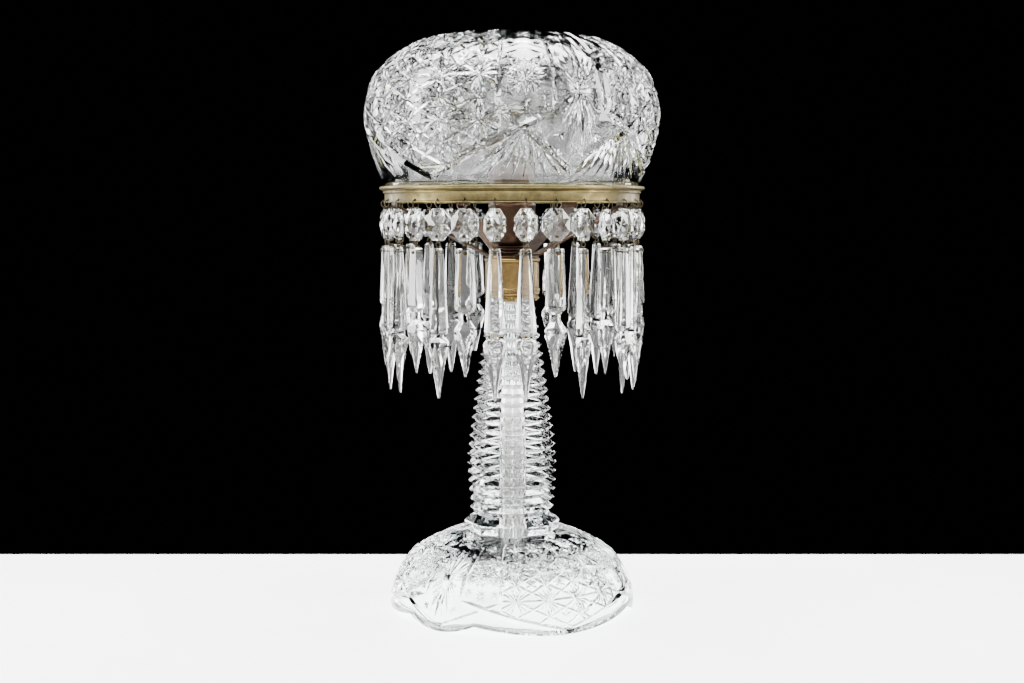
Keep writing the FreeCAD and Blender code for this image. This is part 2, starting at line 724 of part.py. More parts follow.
def filament():
    """A coiled filament drawn as one bowed wire between the two supports."""
    base = bulb_level()
    height = base + 46.6
    span = 8.2
    arc = Part.Arc(FreeCAD.Vector(-span, 0, height), FreeCAD.Vector(0, 0, height + 3.0),
                   FreeCAD.Vector(span, 0, height)).toShape()
    path = Part.Wire([arc])
    start = arc.tangentAt(arc.FirstParameter)
    ring = Part.Wire([Part.makeCircle(0.5, FreeCAD.Vector(-span, 0, height), start)])
    return path.makePipeShell([ring], True, True)


solid_feature("bulb_glass", bulb_envelope())
solid_feature("bulb_stem", bulb_mount())
solid_feature("filament", filament())

# ---------------------------------------------------------------- fringe of drops
# Each drop is drawn with its hanging point at the origin, +X outwards and Z up, then placed.


def section(z, width, depth, bevel=0.3):
    """A flat eight-sided section of a spear: a rectangle with its corners bevelled off."""
    half = width / 2.0
    thick = depth / 2.0
    cut = bevel * width
    side = 0.35 * thick
    corners = [(thick, half - cut), (side, half), (-side, half), (-thick, half - cut),
               (-thick, cut - half), (-side, -half), (side, -half), (thick, cut - half)]
    points = [FreeCAD.Vector(x, y, z) for x, y in corners]
    return Part.makePolygon(points + points[:1])


def spear(top, short):
    """A cut-glass spear hanging from z = top: bevelled body, neck, shoulder and long point."""
    width = size("spear_width")
    body = size("short_body") if short else size("long_body")
    neck = size("short_neck") if short else size("long_neck")
    point = size("short_point") if short else size("long_point")
    head = 0.83 * width if short else 0.5 * width
    waist = 0.56 * width if short else 0.81 * width
    neck_top = top - body
    neck_end = neck_top - neck
    tip = neck_end - point
    levels = [
        (top, head - 1.6, 4.4), (top - 1.0, head, 5.4), (neck_top, width, 8.6),
        (neck_top - 0.25 * neck, waist, 0.62 * waist + 1.0), (neck_top - 0.7 * neck, waist, 0.62 * waist + 1.0),
        (neck_end, 1.06 * width, 9.2), (neck_end - 0.12 * point, 1.04 * width, 9.4), (tip, 1.6, 1.2),
    ]
    glass = Part.makeLoft([section(z, across, deep) for z, across, deep in levels], True, True)
    hole = Part.makeCylinder(size("pin_hole_radius"), 20.0,
                             FreeCAD.Vector(-10, 0, top - size("pin_inset")), FreeCAD.Vector(1, 0, 0))
    return glass.cut(hole)


def octagon_wire(x, middle, width, height):
    """An upright octagon facing +X, a little taller than wide."""
    corner = math.tan(math.radians(22.5))
    half = width / 2.0
    rise = height / 2.0
    outline = [(half, corner * rise), (corner * half, rise), (-corner * half, rise), (-half, corner * rise),
               (-half, -corner * rise), (-corner * half, -rise), (corner * half, -rise), (half, -corner * rise)]
    points = [FreeCAD.Vector(x, y, middle + z) for y, z in outline]
    return Part.makePolygon(points + points[:1])


def bead(middle):
    """A faceted octagon with a shallow pyramid on each face and a pin hole at top and bottom."""
    edge = size("bead_edge") / 2.0
    deep = size("bead_depth") / 2.0
    width = size("bead_width")
    height = size("bead_height")
    wires = [octagon_wire(-deep, middle, 0.06 * width, 0.06 * height),
             octagon_wire(-edge, middle, width, height),
             octagon_wire(edge, middle, width, height),
             octagon_wire(deep, middle, 0.06 * width, 0.06 * height)]
    glass = Part.makeLoft(wires, True, True)
    for side in (-1.0, 1.0):
        level = middle + side * (height / 2.0 - size("pin_inset"))
        hole = Part.makeCylinder(size("pin_hole_radius"), 20.0, FreeCAD.Vector(-10, 0, level),
                                 FreeCAD.Vector(1, 0, 0))
        glass = glass.cut(hole)
    return glass


def wire_ring(radius, centre_z, sideways):
    """A closed ring of wire; seen edge-on from outside, or turned to face outwards."""
    axis = FreeCAD.Vector(1, 0, 0) if sideways else FreeCAD.Vector(0, 1, 0)
    return Part.makeTorus(radius, size("wire_radius"), FreeCAD.Vector(0, 0, centre_z), axis)


def pin(level, back, front, tail_end):
    """A wire pin: a round head in front, a shank through the glass, a riser and a bar to the axis."""
    wire = size("wire_radius")
    shank = Part.makeCylinder(wire, back + wire + front, FreeCAD.Vector(-back - wire, 0, level),
                              FreeCAD.Vector(1, 0, 0))
    head = Part.makeCylinder(size("pin_head_radius"), 0.7, FreeCAD.Vector(front - 0.1, 0, level),
                             FreeCAD.Vector(1, 0, 0))
    way = 1.0 if tail_end > level else -1.0
    riser = Part.makeCylinder(0.9 * wire, abs(tail_end - level) + wire, FreeCAD.Vector(-back, 0, level),
                              FreeCAD.Vector(0, 0, way))
    bar = Part.makeCylinder(0.8 * wire, back, FreeCAD.Vector(-back, 0, tail_end), FreeCAD.Vector(1, 0, 0))
    return joined([shank, head, riser, bar])


def turn_about_z(shape, angle):
    turned_shape = shape.copy()
    turned_shape.rotate(FreeCAD.Vector(0, 0, 0), FreeCAD.Vector(0, 0, 1), angle)
    return turned_shape


def drop(number):
    """One drop: hook ring, bead on its two pins, eye ring and spear, each a solid of its own."""
    bead_turn = BEAD_TURNS.get(number, 5 if number % 2 else -6)
    spear_turn = SPEAR_TURNS.get(number, 4 if number % 3 else -9)
    hook_end = -2.0 * size("hook_radius")
    middle = -size("bead_top_drop") - size("bead_height") / 2.0
    hole_rise = size("bead_height") / 2.0 - size("pin_inset")
    bead_bottom = middle - size("bead_height") / 2.0
    spear_top = bead_bottom - size("spear_gap")
    eye_z = bead_bottom - size("spear_gap") / 2.0
    front = size("bead_edge") / 2.0 + 1.2
    spear_front = 0.22 * size("spear_width")
    top_pin = pin(middle + hole_rise, front + 0.7, front, hook_end)
    low_pin = pin(middle - hole_rise, front + 0.7, front, eye_z + size("eye_radius"))
    spear_pin = pin(spear_top - size("pin_inset"), spear_front + 0.8, spear_front, eye_z - size("eye_radius"))
    pieces = [
        wire_ring(size("hook_radius"), -size("hook_radius"), False),
        turn_about_z(bead(middle), bead_turn),
        turn_about_z(top_pin, bead_turn),
        turn_about_z(low_pin, bead_turn),
        wire_ring(size("eye_radius"), eye_z, True),
        turn_about_z(spear(spear_top, number in SHORT_DROPS), spear_turn),
        turn_about_z(spear_pin, spear_turn),
    ]
    return pieces


def drop_node(number):
    pieces = drop(number)
    wires = joined([pieces[0], pieces[2], pieces[3], pieces[4], pieces[6]])
    return Part.makeCompound([pieces[1], pieces[5]] + wires.Solids)


drop_radius = size("ring_radius") - size("ring_wall") / 2.0
for number in range(int(size("drop_count"))):
    azimuth = size("drop_azimuth") + 360.0 * number / size("drop_count")
    placement = facing(azimuth, size("drop_hole_z"), drop_radius)
    solid_feature("drop_%02d" % (number + 1), drop_node(number), placement)

# ---------------------------------------------------------------- checks and export

doc.recompute()
for obj in doc.Objects:
    if "Invalid" in obj.State or "Error" in obj.State:
        raise RuntimeError("%s did not recompute: %s" % (obj.Name, obj.State))
os.makedirs("parts", exist_ok=True)
for node in nodes:
    shape = node.Shape
    if shape.isNull() or not shape.isValid():
        raise RuntimeError("%s has no valid shape" % node.Label)
    if not shape.Solids:
        raise RuntimeError("%s has no solid" % node.Label)
    shape.exportStep("parts/%s.step" % node.Label)
    box = shape.optimalBoundingBox()
    print("%-16s solids %2d  volume %9.1f  z %7.2f %7.2f  r %6.2f" % (
        node.Label, len(shape.Solids), shape.Volume, box.ZMin, box.ZMax, max(box.XMax, -box.XMin)))
print("%d nodes" % len(nodes))
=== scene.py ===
import math

import bmesh
import bpy
import numpy as np
from mathutils import Matrix, Vector
from mathutils.geometry import delaunay_2d_cdt
from mathutils.kdtree import KDTree


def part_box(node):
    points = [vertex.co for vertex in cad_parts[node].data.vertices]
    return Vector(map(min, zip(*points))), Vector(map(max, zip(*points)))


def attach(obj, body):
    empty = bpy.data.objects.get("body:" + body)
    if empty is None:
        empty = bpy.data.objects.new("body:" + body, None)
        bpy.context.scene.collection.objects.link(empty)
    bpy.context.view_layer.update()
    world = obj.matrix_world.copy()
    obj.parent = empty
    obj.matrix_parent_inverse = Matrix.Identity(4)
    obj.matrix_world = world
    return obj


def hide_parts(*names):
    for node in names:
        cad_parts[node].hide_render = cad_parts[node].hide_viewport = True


bl_info = {
    "name": "Cut Glass Table Lamp",
    "version": (1, 0, 0),
    "blender": (4, 5, 0),
    "location": "View3D > Sidebar > Lamp",
    "description": "Builds a cut-glass lamp with a brass gallery and a fringe of drops",
    "category": "Add Mesh",
}

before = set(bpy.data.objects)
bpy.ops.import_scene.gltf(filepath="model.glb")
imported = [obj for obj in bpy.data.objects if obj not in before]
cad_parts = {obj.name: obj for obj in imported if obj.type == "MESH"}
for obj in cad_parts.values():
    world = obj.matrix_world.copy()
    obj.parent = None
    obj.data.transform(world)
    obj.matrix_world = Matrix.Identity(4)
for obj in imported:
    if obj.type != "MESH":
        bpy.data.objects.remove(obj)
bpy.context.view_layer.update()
MM = 0.001


def box_mm(node):
    """A CAD node's lowest and highest corners, in millimetres."""
    low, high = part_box(node)
    return [value / MM for value in low], [value / MM for value in high]


# ---------------------------------------------------------------- nodes and materials


def linear(hex_colour):
    """An sRGB hex colour as linear RGBA."""
    channels = [int(hex_colour[k:k + 2], 16) / 255.0 for k in (1, 3, 5)]
    return [c / 12.92 if c <= 0.04045 else ((c + 0.055) / 1.055) ** 2.4 for c in channels] + [1.0]


def rgba(colour):
    """A hex colour, a grey level or three linear channels as linear RGBA."""
    if isinstance(colour, str):
        return linear(colour)
    return [colour, colour, colour, 1.0] if isinstance(colour, float) else [*colour, 1.0]


def add(tree, kind, inputs=(), **settings):
    """Place one node with its settings, and give its inputs by name or number a value or a link.

    A colour ramp's stops are a setting too: (position, hex colour or grey level) pairs.
    """
    node = tree.nodes.new(kind)
    stops = settings.pop("stops", ())
    for key, value in settings.items():
        setattr(node, key, value)
    for number, (position, colour) in enumerate(stops):
        elements = node.color_ramp.elements
        element = elements[number] if number < len(elements) else elements.new(position)
        element.position = position
        element.color = rgba(colour)
    for key, value in dict(inputs).items():
        if isinstance(value, bpy.types.NodeSocket):
            tree.links.new(value, node.inputs[key])
        else:
            node.inputs[key].default_value = value
    return node


def blank_material(name):
    """A new material and its empty node tree."""
    material = bpy.data.materials.new(name)
    material.use_nodes = True
    material.node_tree.nodes.clear()
    return material, material.node_tree


def features(size_mm):
    """The noise scale that makes features about size_mm across in object coordinates."""
    return 1.0 / (size_mm * MM)


def crystal(name, tint, ripple_strength):
    """Lead crystal, wheel-cut and polished: water clear, with a faint ripple left by the polishing."""
    material, tree = blank_material(name)
    place = add(tree, "ShaderNodeTexCoord").outputs["Object"]
    ripple = add(tree, "ShaderNodeTexNoise", {"Vector": place, "Scale": features(6.0), "Detail": 2.0})
    grain = add(tree, "ShaderNodeTexNoise", {"Vector": place, "Scale": features(0.8), "Detail": 2.0})
    haze = add(tree, "ShaderNodeValToRGB", {"Fac": grain.outputs["Fac"]}, stops=((0.35, 0.0), (0.75, 0.03)))
    bump = add(tree, "ShaderNodeBump", {"Height": ripple.outputs["Fac"], "Strength": ripple_strength,
                                        "Distance": 0.25 * MM})
    glass = add(tree, "ShaderNodeBsdfPrincipled", {
        "Base Color": rgba(tint), "IOR": LEAD_CRYSTAL_IOR, "Transmission Weight": 1.0,
        "Roughness": haze.outputs["Color"], "Normal": bump.outputs["Normal"]})
    clear = add(tree, "ShaderNodeBsdfTransparent", {"Color": linear("#F0F4F4")})
    path = add(tree, "ShaderNodeLightPath")
    mix = add(tree, "ShaderNodeMixShader", {0: path.outputs["Is Shadow Ray"], 1: glass.outputs[0],
                                            2: clear.outputs[0]})
    add(tree, "ShaderNodeOutputMaterial", {"Surface": mix.outputs[0]})
    return material


def old_metal(name, bright, dull, stain, roughness, patch_mm=7.0, speck_mm=0.5):
    """Sheet metal gone dull: cloudy patches, darker specks in them, and a satin gloss that varies."""
    material, tree = blank_material(name)
    place = add(tree, "ShaderNodeTexCoord").outputs["Object"]
    patches = add(tree, "ShaderNodeTexNoise", {"Vector": place, "Scale": features(patch_mm), "Detail": 6.0,
                                               "Roughness": 0.65}).outputs["Fac"]
    specks = add(tree, "ShaderNodeTexNoise", {"Vector": place, "Scale": features(speck_mm),
                                              "Detail": 3.0}).outputs["Fac"]
    body = add(tree, "ShaderNodeValToRGB", {"Fac": patches}, stops=((0.33, dull), (0.62, bright)))
    spots = add(tree, "ShaderNodeValToRGB", {"Fac": specks}, stops=((0.30, 1.0), (0.42, 0.0)))
    colour = add(tree, "ShaderNodeMix", {0: spots.outputs["Color"], 6: body.outputs["Color"],
                                         7: linear(stain)}, data_type="RGBA")
    gloss = add(tree, "ShaderNodeValToRGB", {"Fac": patches},
                stops=((0.3, roughness + 0.14), (0.7, roughness - 0.06)))
    bump = add(tree, "ShaderNodeBump", {"Height": specks, "Strength": 0.25, "Distance": 0.08 * MM})
    metal = add(tree, "ShaderNodeBsdfPrincipled", {
        "Base Color": colour.outputs[2], "Roughness": gloss.outputs["Color"], "Metallic": 1.0,
        "Normal": bump.outputs["Normal"]})
    add(tree, "ShaderNodeOutputMaterial", {"Surface": metal.outputs[0]})
    return material


def moulded(name, light, dark, roughness, grain_mm=2.0):
    """A moulded or glazed non-metal: slight mottling, and a gloss that wears with it."""
    material, tree = blank_material(name)
    place = add(tree, "ShaderNodeTexCoord").outputs["Object"]
    grain = add(tree, "ShaderNodeTexNoise", {"Vector": place, "Scale": features(grain_mm),
                                             "Detail": 4.0}).outputs["Fac"]
    colour = add(tree, "ShaderNodeValToRGB", {"Fac": grain}, stops=((0.35, dark), (0.65, light)))
    gloss = add(tree, "ShaderNodeValToRGB", {"Fac": grain},
                stops=((0.3, roughness), (0.7, roughness + 0.1)))
    bump = add(tree, "ShaderNodeBump", {"Height": grain, "Strength": 0.3, "Distance": 0.04 * MM})
    body = add(tree, "ShaderNodeBsdfPrincipled", {
        "Base Color": colour.outputs["Color"], "Roughness": gloss.outputs["Color"],
        "Normal": bump.outputs["Normal"]})
    add(tree, "ShaderNodeOutputMaterial", {"Surface": body.outputs[0]})
    return material


LEAD_CRYSTAL_IOR = 1.545
RECIPES = {
    "cut_glass": (crystal, "lead_crystal_cut_polished", "#FBFDFC", 0.10),
    "drop_glass": (crystal, "lead_crystal_pressed_drop", "#FAFBF8", 0.06),
    "bulb_glass": (crystal, "thin_blown_glass", "#FDFDFB", 0.02),
    "aged_brass": (old_metal, "brass_sheet_dulled_olive", "#6E6240", "#474028", "#252014", 0.36),
    "cap_brass": (old_metal, "brass_spun_cap_worn", "#6F5A36", "#463620", "#261D13", 0.34),
    "bright_brass": (old_metal, "brass_screw_shell", "#C8A860", "#9A7C40", "#5A4522", 0.28),
    "dark_bronze": (old_metal, "copper_oxidised_brown", "#35261C", "#1D140E", "#100B08", 0.38),
    "black_wire": (old_metal, "brass_wire_blackened", "#40382A", "#241F17", "#12100C", 0.42, 2.0, 0.2),
    "zinc_steel": (old_metal, "steel_nickel_plated", "#C9C8C4", "#A5A4A0", "#77756F", 0.16),
    "rubber_pad": (moulded, "rubber_moulded_black", "#1B1B1A", "#0F0F0F", 0.6),
    "black_plastic": (moulded, "phenolic_moulded_black", "#15120F", "#0C0A09", 0.22),
    "porcelain": (moulded, "porcelain_glazed", "#E9E6DC", "#D8D4C8", 0.12),
    "fibre_liner": (moulded, "vulcanised_fibre", "#5B4532", "#3F2F22", 0.6),
    "tungsten": (old_metal, "tungsten_coil", "#8A8A88", "#5A5A58", "#333333", 0.4, 1.0, 0.1),
}
CHOSEN_TONES = {"cut_glass": ("lamp_glass", "glass_tint"), "aged_brass": ("lamp_metal", "gallery_brass"),
                "cap_brass": ("lamp_metal", "cap_brass"), "dark_bronze": ("lamp_metal", "arm_bronze")}
FINISHES = {}


def finish_of(key):
    """The material of that name, made the first time it is asked for, in the tone the user chose."""
    if key not in FINISHES:
        recipe, name, tone, *values = RECIPES[key]
        if key in CHOSEN_TONES:
            group, choice = CHOSEN_TONES[key]
            tone = tuple(getattr(getattr(bpy.context.scene, group), choice))
        FINISHES[key] = recipe(name, tone, *values)
    return FINISHES[key]


def colour_choice(title, key):
    """A colour property whose default is a recipe's own tone."""
    return bpy.props.FloatVectorProperty(name=title, description="Main tone of the " + title.lower(),
                                         subtype="COLOR", size=3, min=0.0, max=1.0,
                                         default=linear(RECIPES[key][2])[:3])


# ---------------------------------------------------------------- mesh helpers


def mesh_object(name, points_mm, faces, material, smooth=()):
    """A closed mesh at the origin from points in millimetres; smooth lists the shaded-smooth faces."""
    mesh = bpy.data.meshes.new(name)
    mesh.from_pydata([(x * MM, y * MM, z * MM) for x, y, z in points_mm], [], faces)
    smooth_faces = set(smooth)
    mesh.polygons.foreach_set("use_smooth", [k in smooth_faces for k in range(len(mesh.polygons))])
    mesh.materials.append(finish_of(material))
    mesh.validate()
    obj = bpy.data.objects.new(name, mesh)
    bpy.context.scene.collection.objects.link(obj)
    return obj


def circle(radius, z, count, first=0.0):
    """Points on a level circle, from a first angle in radians."""
    angles = [first + 2 * math.pi * k / count for k in range(count)]
    return [(radius * math.cos(a), radius * math.sin(a), z) for a in angles]


class Skin:
    """Points and faces gathered ring by ring."""

    def __init__(self):
        self.points = []
        self.faces = []
        self.smooth = []

    def ring(self, points):
        """Add a ring of points; returns their numbers."""
        start = len(self.points)
        self.points.extend(points)
        return list(range(start, start + len(points)))

    def strip(self, low, high, smooth=False):
        """Quads between two rings of the same count, low to high, facing outwards."""
        count = len(low)
        for k in range(count):
            j = (k + 1) % count
            if smooth:
                self.smooth.append(len(self.faces))
            self.faces.append((low[k], low[j], high[j], high[k]))

    def stitch(self, low, high):
        """Triangles between two rings of different counts, matched by angle about Z."""
        def angle(index):
            x, y, _ = self.points[index]
            return math.atan2(y, x) % (2 * math.pi)
        low = sorted(low, key=angle)
        high = sorted(high, key=angle)
        a = b = 0
        while a < len(low) or b < len(high):
            next_low = angle(low[a + 1]) if a + 1 < len(low) else angle(low[0]) + 2 * math.pi
            next_high = angle(high[b + 1]) if b + 1 < len(high) else angle(high[0]) + 2 * math.pi
            if b == len(high) or (a < len(low) and next_low <= next_high):
                self.faces.append((low[a % len(low)], low[(a + 1) % len(low)], high[b % len(high)]))
                a += 1
            else:
                self.faces.append((low[a % len(low)], high[(b + 1) % len(high)], high[b % len(high)]))
                b += 1


def lathe(name, outline, material, count):
    """A closed solid turned about Z from (radius, z) points in order; radius 0 closes on the axis."""
    skin = Skin()
    rings = []
    for radius, z in outline:
        if radius < 1e-6:
            rings.append(skin.ring([(0.0, 0.0, z)]))
        else:
            rings.append(skin.ring(circle(radius, z, count)))
    for low, high in zip(rings, rings[1:] + rings[:1]):
        if len(low) == 1 and len(high) == 1:
            continue
        if len(low) == 1:
            skin.faces.extend((low[0], high[(k + 1) % count], high[k]) for k in range(count))
        elif len(high) == 1:
            skin.faces.extend((low[k], low[(k + 1) % count], high[0]) for k in range(count))
        else:
            skin.strip(low, high)
    return solid(name, (skin.points, skin.faces), material, 35.0)


def outward(obj):
    """Point every face outwards."""
    work = bmesh.new()
    work.from_mesh(obj.data)
    bmesh.ops.recalc_face_normals(work, faces=work.faces)
    work.to_mesh(obj.data)
    work.free()


def sharpen(obj, degrees):
    """Mark edges sharper than an angle so that smooth shading keeps them crisp."""
    work = bmesh.new()
    work.from_mesh(obj.data)
    limit = math.radians(degrees)
    for edge in work.edges:
        edge.smooth = len(edge.link_faces) != 2 or edge.calc_face_angle(0.0) < limit
    work.to_mesh(obj.data)
    work.free()


def solid(name, shape, material, crisp=None):
    """A closed mesh from (points, faces); a crisp angle shades it smooth but for sharper edges."""
    points, faces = shape
    obj = mesh_object(name, points, faces, material, range(len(faces)) if crisp else ())
    outward(obj)
    if crisp:
        sharpen(obj, crisp)
    return obj


def drilled(obj, shape, crisp):
    """Take a closed (points, faces) shape out of a piece."""
    drill = solid("drill", shape, "dark_bronze")
    cut = obj.modifiers.new("holes", "BOOLEAN")
    cut.object = drill
    cut.solver = "EXACT"
    shown = obj.evaluated_get(bpy.context.evaluated_depsgraph_get())
    obj.data = bpy.data.meshes.new_from_object(shown)
    obj.modifiers.clear()
    bpy.data.objects.remove(drill)
    sharpen(obj, crisp)


def settle(obj, body, slot, *nodes):
    """Ride a finished piece on its body, in place of the CAD nodes it stands for."""
    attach(obj, body)
    if nodes:
        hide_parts(*nodes)


def arc_points(centre, radius, start, end, steps):
    """Points on an arc in the outline's plane, degrees from the radius direction."""
    angles = [math.radians(start + (end - start) * k / steps) for k in range(steps + 1)]
    return [(centre[0] + radius * math.cos(a), centre[1] + radius * math.sin(a)) for a in angles]


def spline_outline(points, steps=12):
    """A smooth outline through (radius, z) points, by a Catmull-Rom curve."""
    padded = [points[0]] + list(points) + [points[-1]]
    smooth = []
    for k in range(1, len(padded) - 2):
        p0, p1, p2, p3 = [np.array(p, dtype=float) for p in padded[k - 1:k + 3]]
        for step in range(steps):
            t = step / steps
            smooth.append(0.5 * (2 * p1 + (p2 - p0) * t + (2 * p0 - 5 * p1 + 4 * p2 - p3) * t ** 2
                                 + (3 * p1 - p0 - 3 * p2 + p3) * t ** 3))
    smooth.append(np.array(points[-1], dtype=float))
    return np.array(smooth)


# ---------------------------------------------------------------- the cutter's pattern
# The cuts are laid out on a flat map of the dome, triangulated there, and then sunk into it.

SECTORS = 3
HALF_SECTOR = 180.0 / SECTORS
MAP_RADIUS = 100.0
POLE_RADIUS = 0.4
OUTLINE_STEPS = 24
RIM_STEPS = 40
SIDE_STEPS = 48
TOP_STEPS = 24
MAP_DIGITS = 4
MAP_REACH = 1e-4
MAP_SLACK = 2e-4
MAP_MERGE = 1e-5
LEVEL_SNAP = 0.05
BORDER_SNAP = 0.003
SEAM_WELD = 0.0005


class Dome:
    """A surface of revolution with a flat map that keeps angles, for laying out cuts."""

    def __init__(self, outline):
        smooth = spline_outline(outline, OUTLINE_STEPS)
        self.r = smooth[:, 0]
        self.z = smooth[:, 1]
        gaps = np.hypot(np.diff(self.r), np.diff(self.z))
        self.s = np.concatenate([[0.0], np.cumsum(gaps)])
        middle = np.maximum((self.r[1:] + self.r[:-1]) / 2.0, POLE_RADIUS)
        self.rho = MAP_RADIUS * np.exp(-np.concatenate([[0.0], np.cumsum(gaps / middle)]))
        self.length = self.s[-1]
        slope_r = np.gradient(self.r, self.s)
        slope_z = np.gradient(self.z, self.s)
        self.normal_r = slope_z
        self.normal_z = -slope_r

    def radius(self, s):
        """Radius at an arc length from the rim."""
        return float(np.interp(s, self.s, self.r))

    def at_height(self, z):
        """Arc length from the rim to a height on the rising flank."""
        return float(np.interp(z, self.z, self.s))

    def flat(self, theta, s):
        """The flat-map spot of an angle and an arc length."""
        rho = float(np.interp(s, self.s, self.rho))
        return rho * math.cos(theta), rho * math.sin(theta)

    def local(self, degrees, s):
        """A function from millimetres sideways and upwards at one spot to the flat map."""
        def place(x, y):
            level = s + y
            return self.flat(math.radians(degrees) + x / max(self.radius(level), 1.0), level)
        return place

    def unflatten(self, points):
        """Angle and arc length of flat-map points."""
        theta = np.arctan2(points[:, 1], points[:, 0])
        rho = np.hypot(points[:, 0], points[:, 1])
        s = np.interp(rho, self.rho[::-1], self.s[::-1])
        return theta, s

    def raise_points(self, points, depth, turn, mirrored):
        """Flat-map points on the surface, sunk by their depth, mirrored if asked, then turned."""
        theta, s = self.unflatten(points)
        theta = -theta if mirrored else theta
        r = np.interp(s, self.s, self.r) - depth * np.interp(s, self.s, self.normal_r)
        z = np.interp(s, self.s, self.z) - depth * np.interp(s, self.s, self.normal_z)
        angle = theta + turn
        return np.column_stack([r * np.cos(angle), r * np.sin(angle), z])


class Cuts:
    """Facets of every cut in one sector: triangles on the flat map with a depth at each corner."""

    def __init__(self, dome):
        self.dome = dome
        self.triangles = []

    def star(self, degrees, s, rays, reach, notch, depth, turn=0.0, oval=None):
        """A star of V cuts that meet at its centre; oval(angle) scales the reach of each ray."""
        place = self.dome.local(degrees, s)
        centre = (place(0.0, 0.0), depth)
        tips = []
        valleys = []
        for k in range(rays):
            angle = math.radians(turn) + 2 * math.pi * k / rays
            half = angle + math.pi / rays
            long_ray = reach * (oval(angle) if oval else 1.0)
            tips.append((place(long_ray * math.cos(angle), long_ray * math.sin(angle)), 0.0))
            valleys.append((place(notch * math.cos(half), notch * math.sin(half)), 0.0))
        for k in range(rays):
            self.triangles.append((centre, tips[k], valleys[k]))
            self.triangles.append((centre, valleys[k], tips[(k + 1) % rays]))

    def leaf(self, degrees, s, start, end, width, depth, belly=0.4):
        """One pointed V cut between two spots given in millimetres from a place."""
        place = self.dome.local(degrees, s)
        ax, ay = start
        bx, by = end
        length = math.hypot(bx - ax, by - ay)
        nx, ny = -(by - ay) / length, (bx - ax) / length
        mx, my = ax + (bx - ax) * belly, ay + (by - ay) * belly
        tips = [(place(ax, ay), 0.0), (place(bx, by), 0.0)]
        middle = (place(mx, my), depth)
        sides = [(place(mx + nx * width / 2, my + ny * width / 2), 0.0),
                 (place(mx - nx * width / 2, my - ny * width / 2), 0.0)]
        for tip in tips:
            for side in sides:
                self.triangles.append((tip, middle, side))

    def mitre(self, start, end, width, depth, taper=(True, True), step=9.0):
        """A long straight V cut between two (degrees, s) spots, with pointed or open ends."""
        mean = self.dome.radius((start[1] + end[1]) / 2)
        run = math.hypot(math.radians(end[0] - start[0]) * mean, end[1] - start[1])
        count = max(2, int(round(run / step)))
        rows = []
        for k in range(count + 1):
            t = k / count
            degrees = start[0] + (end[0] - start[0]) * t
            s = start[1] + (end[1] - start[1]) * t
            across = math.radians(end[0] - start[0]) * self.dome.radius(s)
            up = end[1] - start[1]
            length = math.hypot(across, up)
            nx, ny = -up / length * width / 2, across / length * width / 2
            pointed = (k == 0 and taper[0]) or (k == count and taper[1])
            place = self.dome.local(degrees, s)
            if pointed:
                rows.append([(place(0, 0), 0.0)] * 3)
            else:
                rows.append([(place(nx, ny), 0.0), (place(0, 0), depth), (place(-nx, -ny), 0.0)])
        for low, high in zip(rows, rows[1:]):
            for a, b in ((0, 1), (1, 2)):
                for corners in ((low[a], low[b], high[b]), (low[a], high[b], high[a])):
                    if len({corner[0] for corner in corners}) == 3:
                        self.triangles.append(corners)

    def depth_at(self, points):
        """The deepest cut at each flat-map point."""
        depth = np.zeros(len(points))
        for triangle in self.triangles:
            (ax, ay), (bx, by), (cx, cy) = [corner[0] for corner in triangle]
            da, db, dc = [corner[1] for corner in triangle]
            area = (bx - ax) * (cy - ay) - (cx - ax) * (by - ay)
            if abs(area) < 1e-9:
                continue
            near = np.nonzero((points[:, 0] >= min(ax, bx, cx) - MAP_REACH)
                              & (points[:, 0] <= max(ax, bx, cx) + MAP_REACH)
                              & (points[:, 1] >= min(ay, by, cy) - MAP_REACH)
                              & (points[:, 1] <= max(ay, by, cy) + MAP_REACH))[0]
            px, py = points[near, 0], points[near, 1]
            wb = ((px - ax) * (cy - ay) - (cx - ax) * (py - ay)) / area
            wc = ((bx - ax) * (py - ay) - (px - ax) * (by - ay)) / area
            wa = 1.0 - wb - wc
            inside = np.minimum(np.minimum(wa, wb), wc) > -MAP_SLACK
            value = wa * da + wb * db + wc * dc
            depth[near[inside]] = np.maximum(depth[near[inside]], value[inside])
        return depth


def fill_points(dome, cuts, s_low, s_high, spacing):
    """Evenly spread spots on the uncut surface of one half sector, so that it stays round."""
    found = []
    rows = int((s_high - s_low) / spacing)
    for row in range(1, rows):
        s = s_low + (s_high - s_low) * row / rows
        count = max(3, int(math.radians(HALF_SECTOR) * dome.radius(s) / spacing))
        for k in range(1, count):
            theta = math.radians(HALF_SECTOR) * (k - 0.5 * (row % 2) + 0.25) / count
            found.append(dome.flat(theta, s))
    found = np.array(found)
    return found[cuts.depth_at(found) < 1e-6]


def on_borders(flat, span):
    """Flat-map points with those a hair off either straight border put exactly on it."""
    rho = np.hypot(flat[:, 0], flat[:, 1])
    theta = np.arctan2(flat[:, 1], flat[:, 0])
    for border in (0.0, span):
        theta[np.abs(theta - border) * rho < BORDER_SNAP] = border
    return np.column_stack([rho * np.cos(theta), rho * np.sin(theta)])


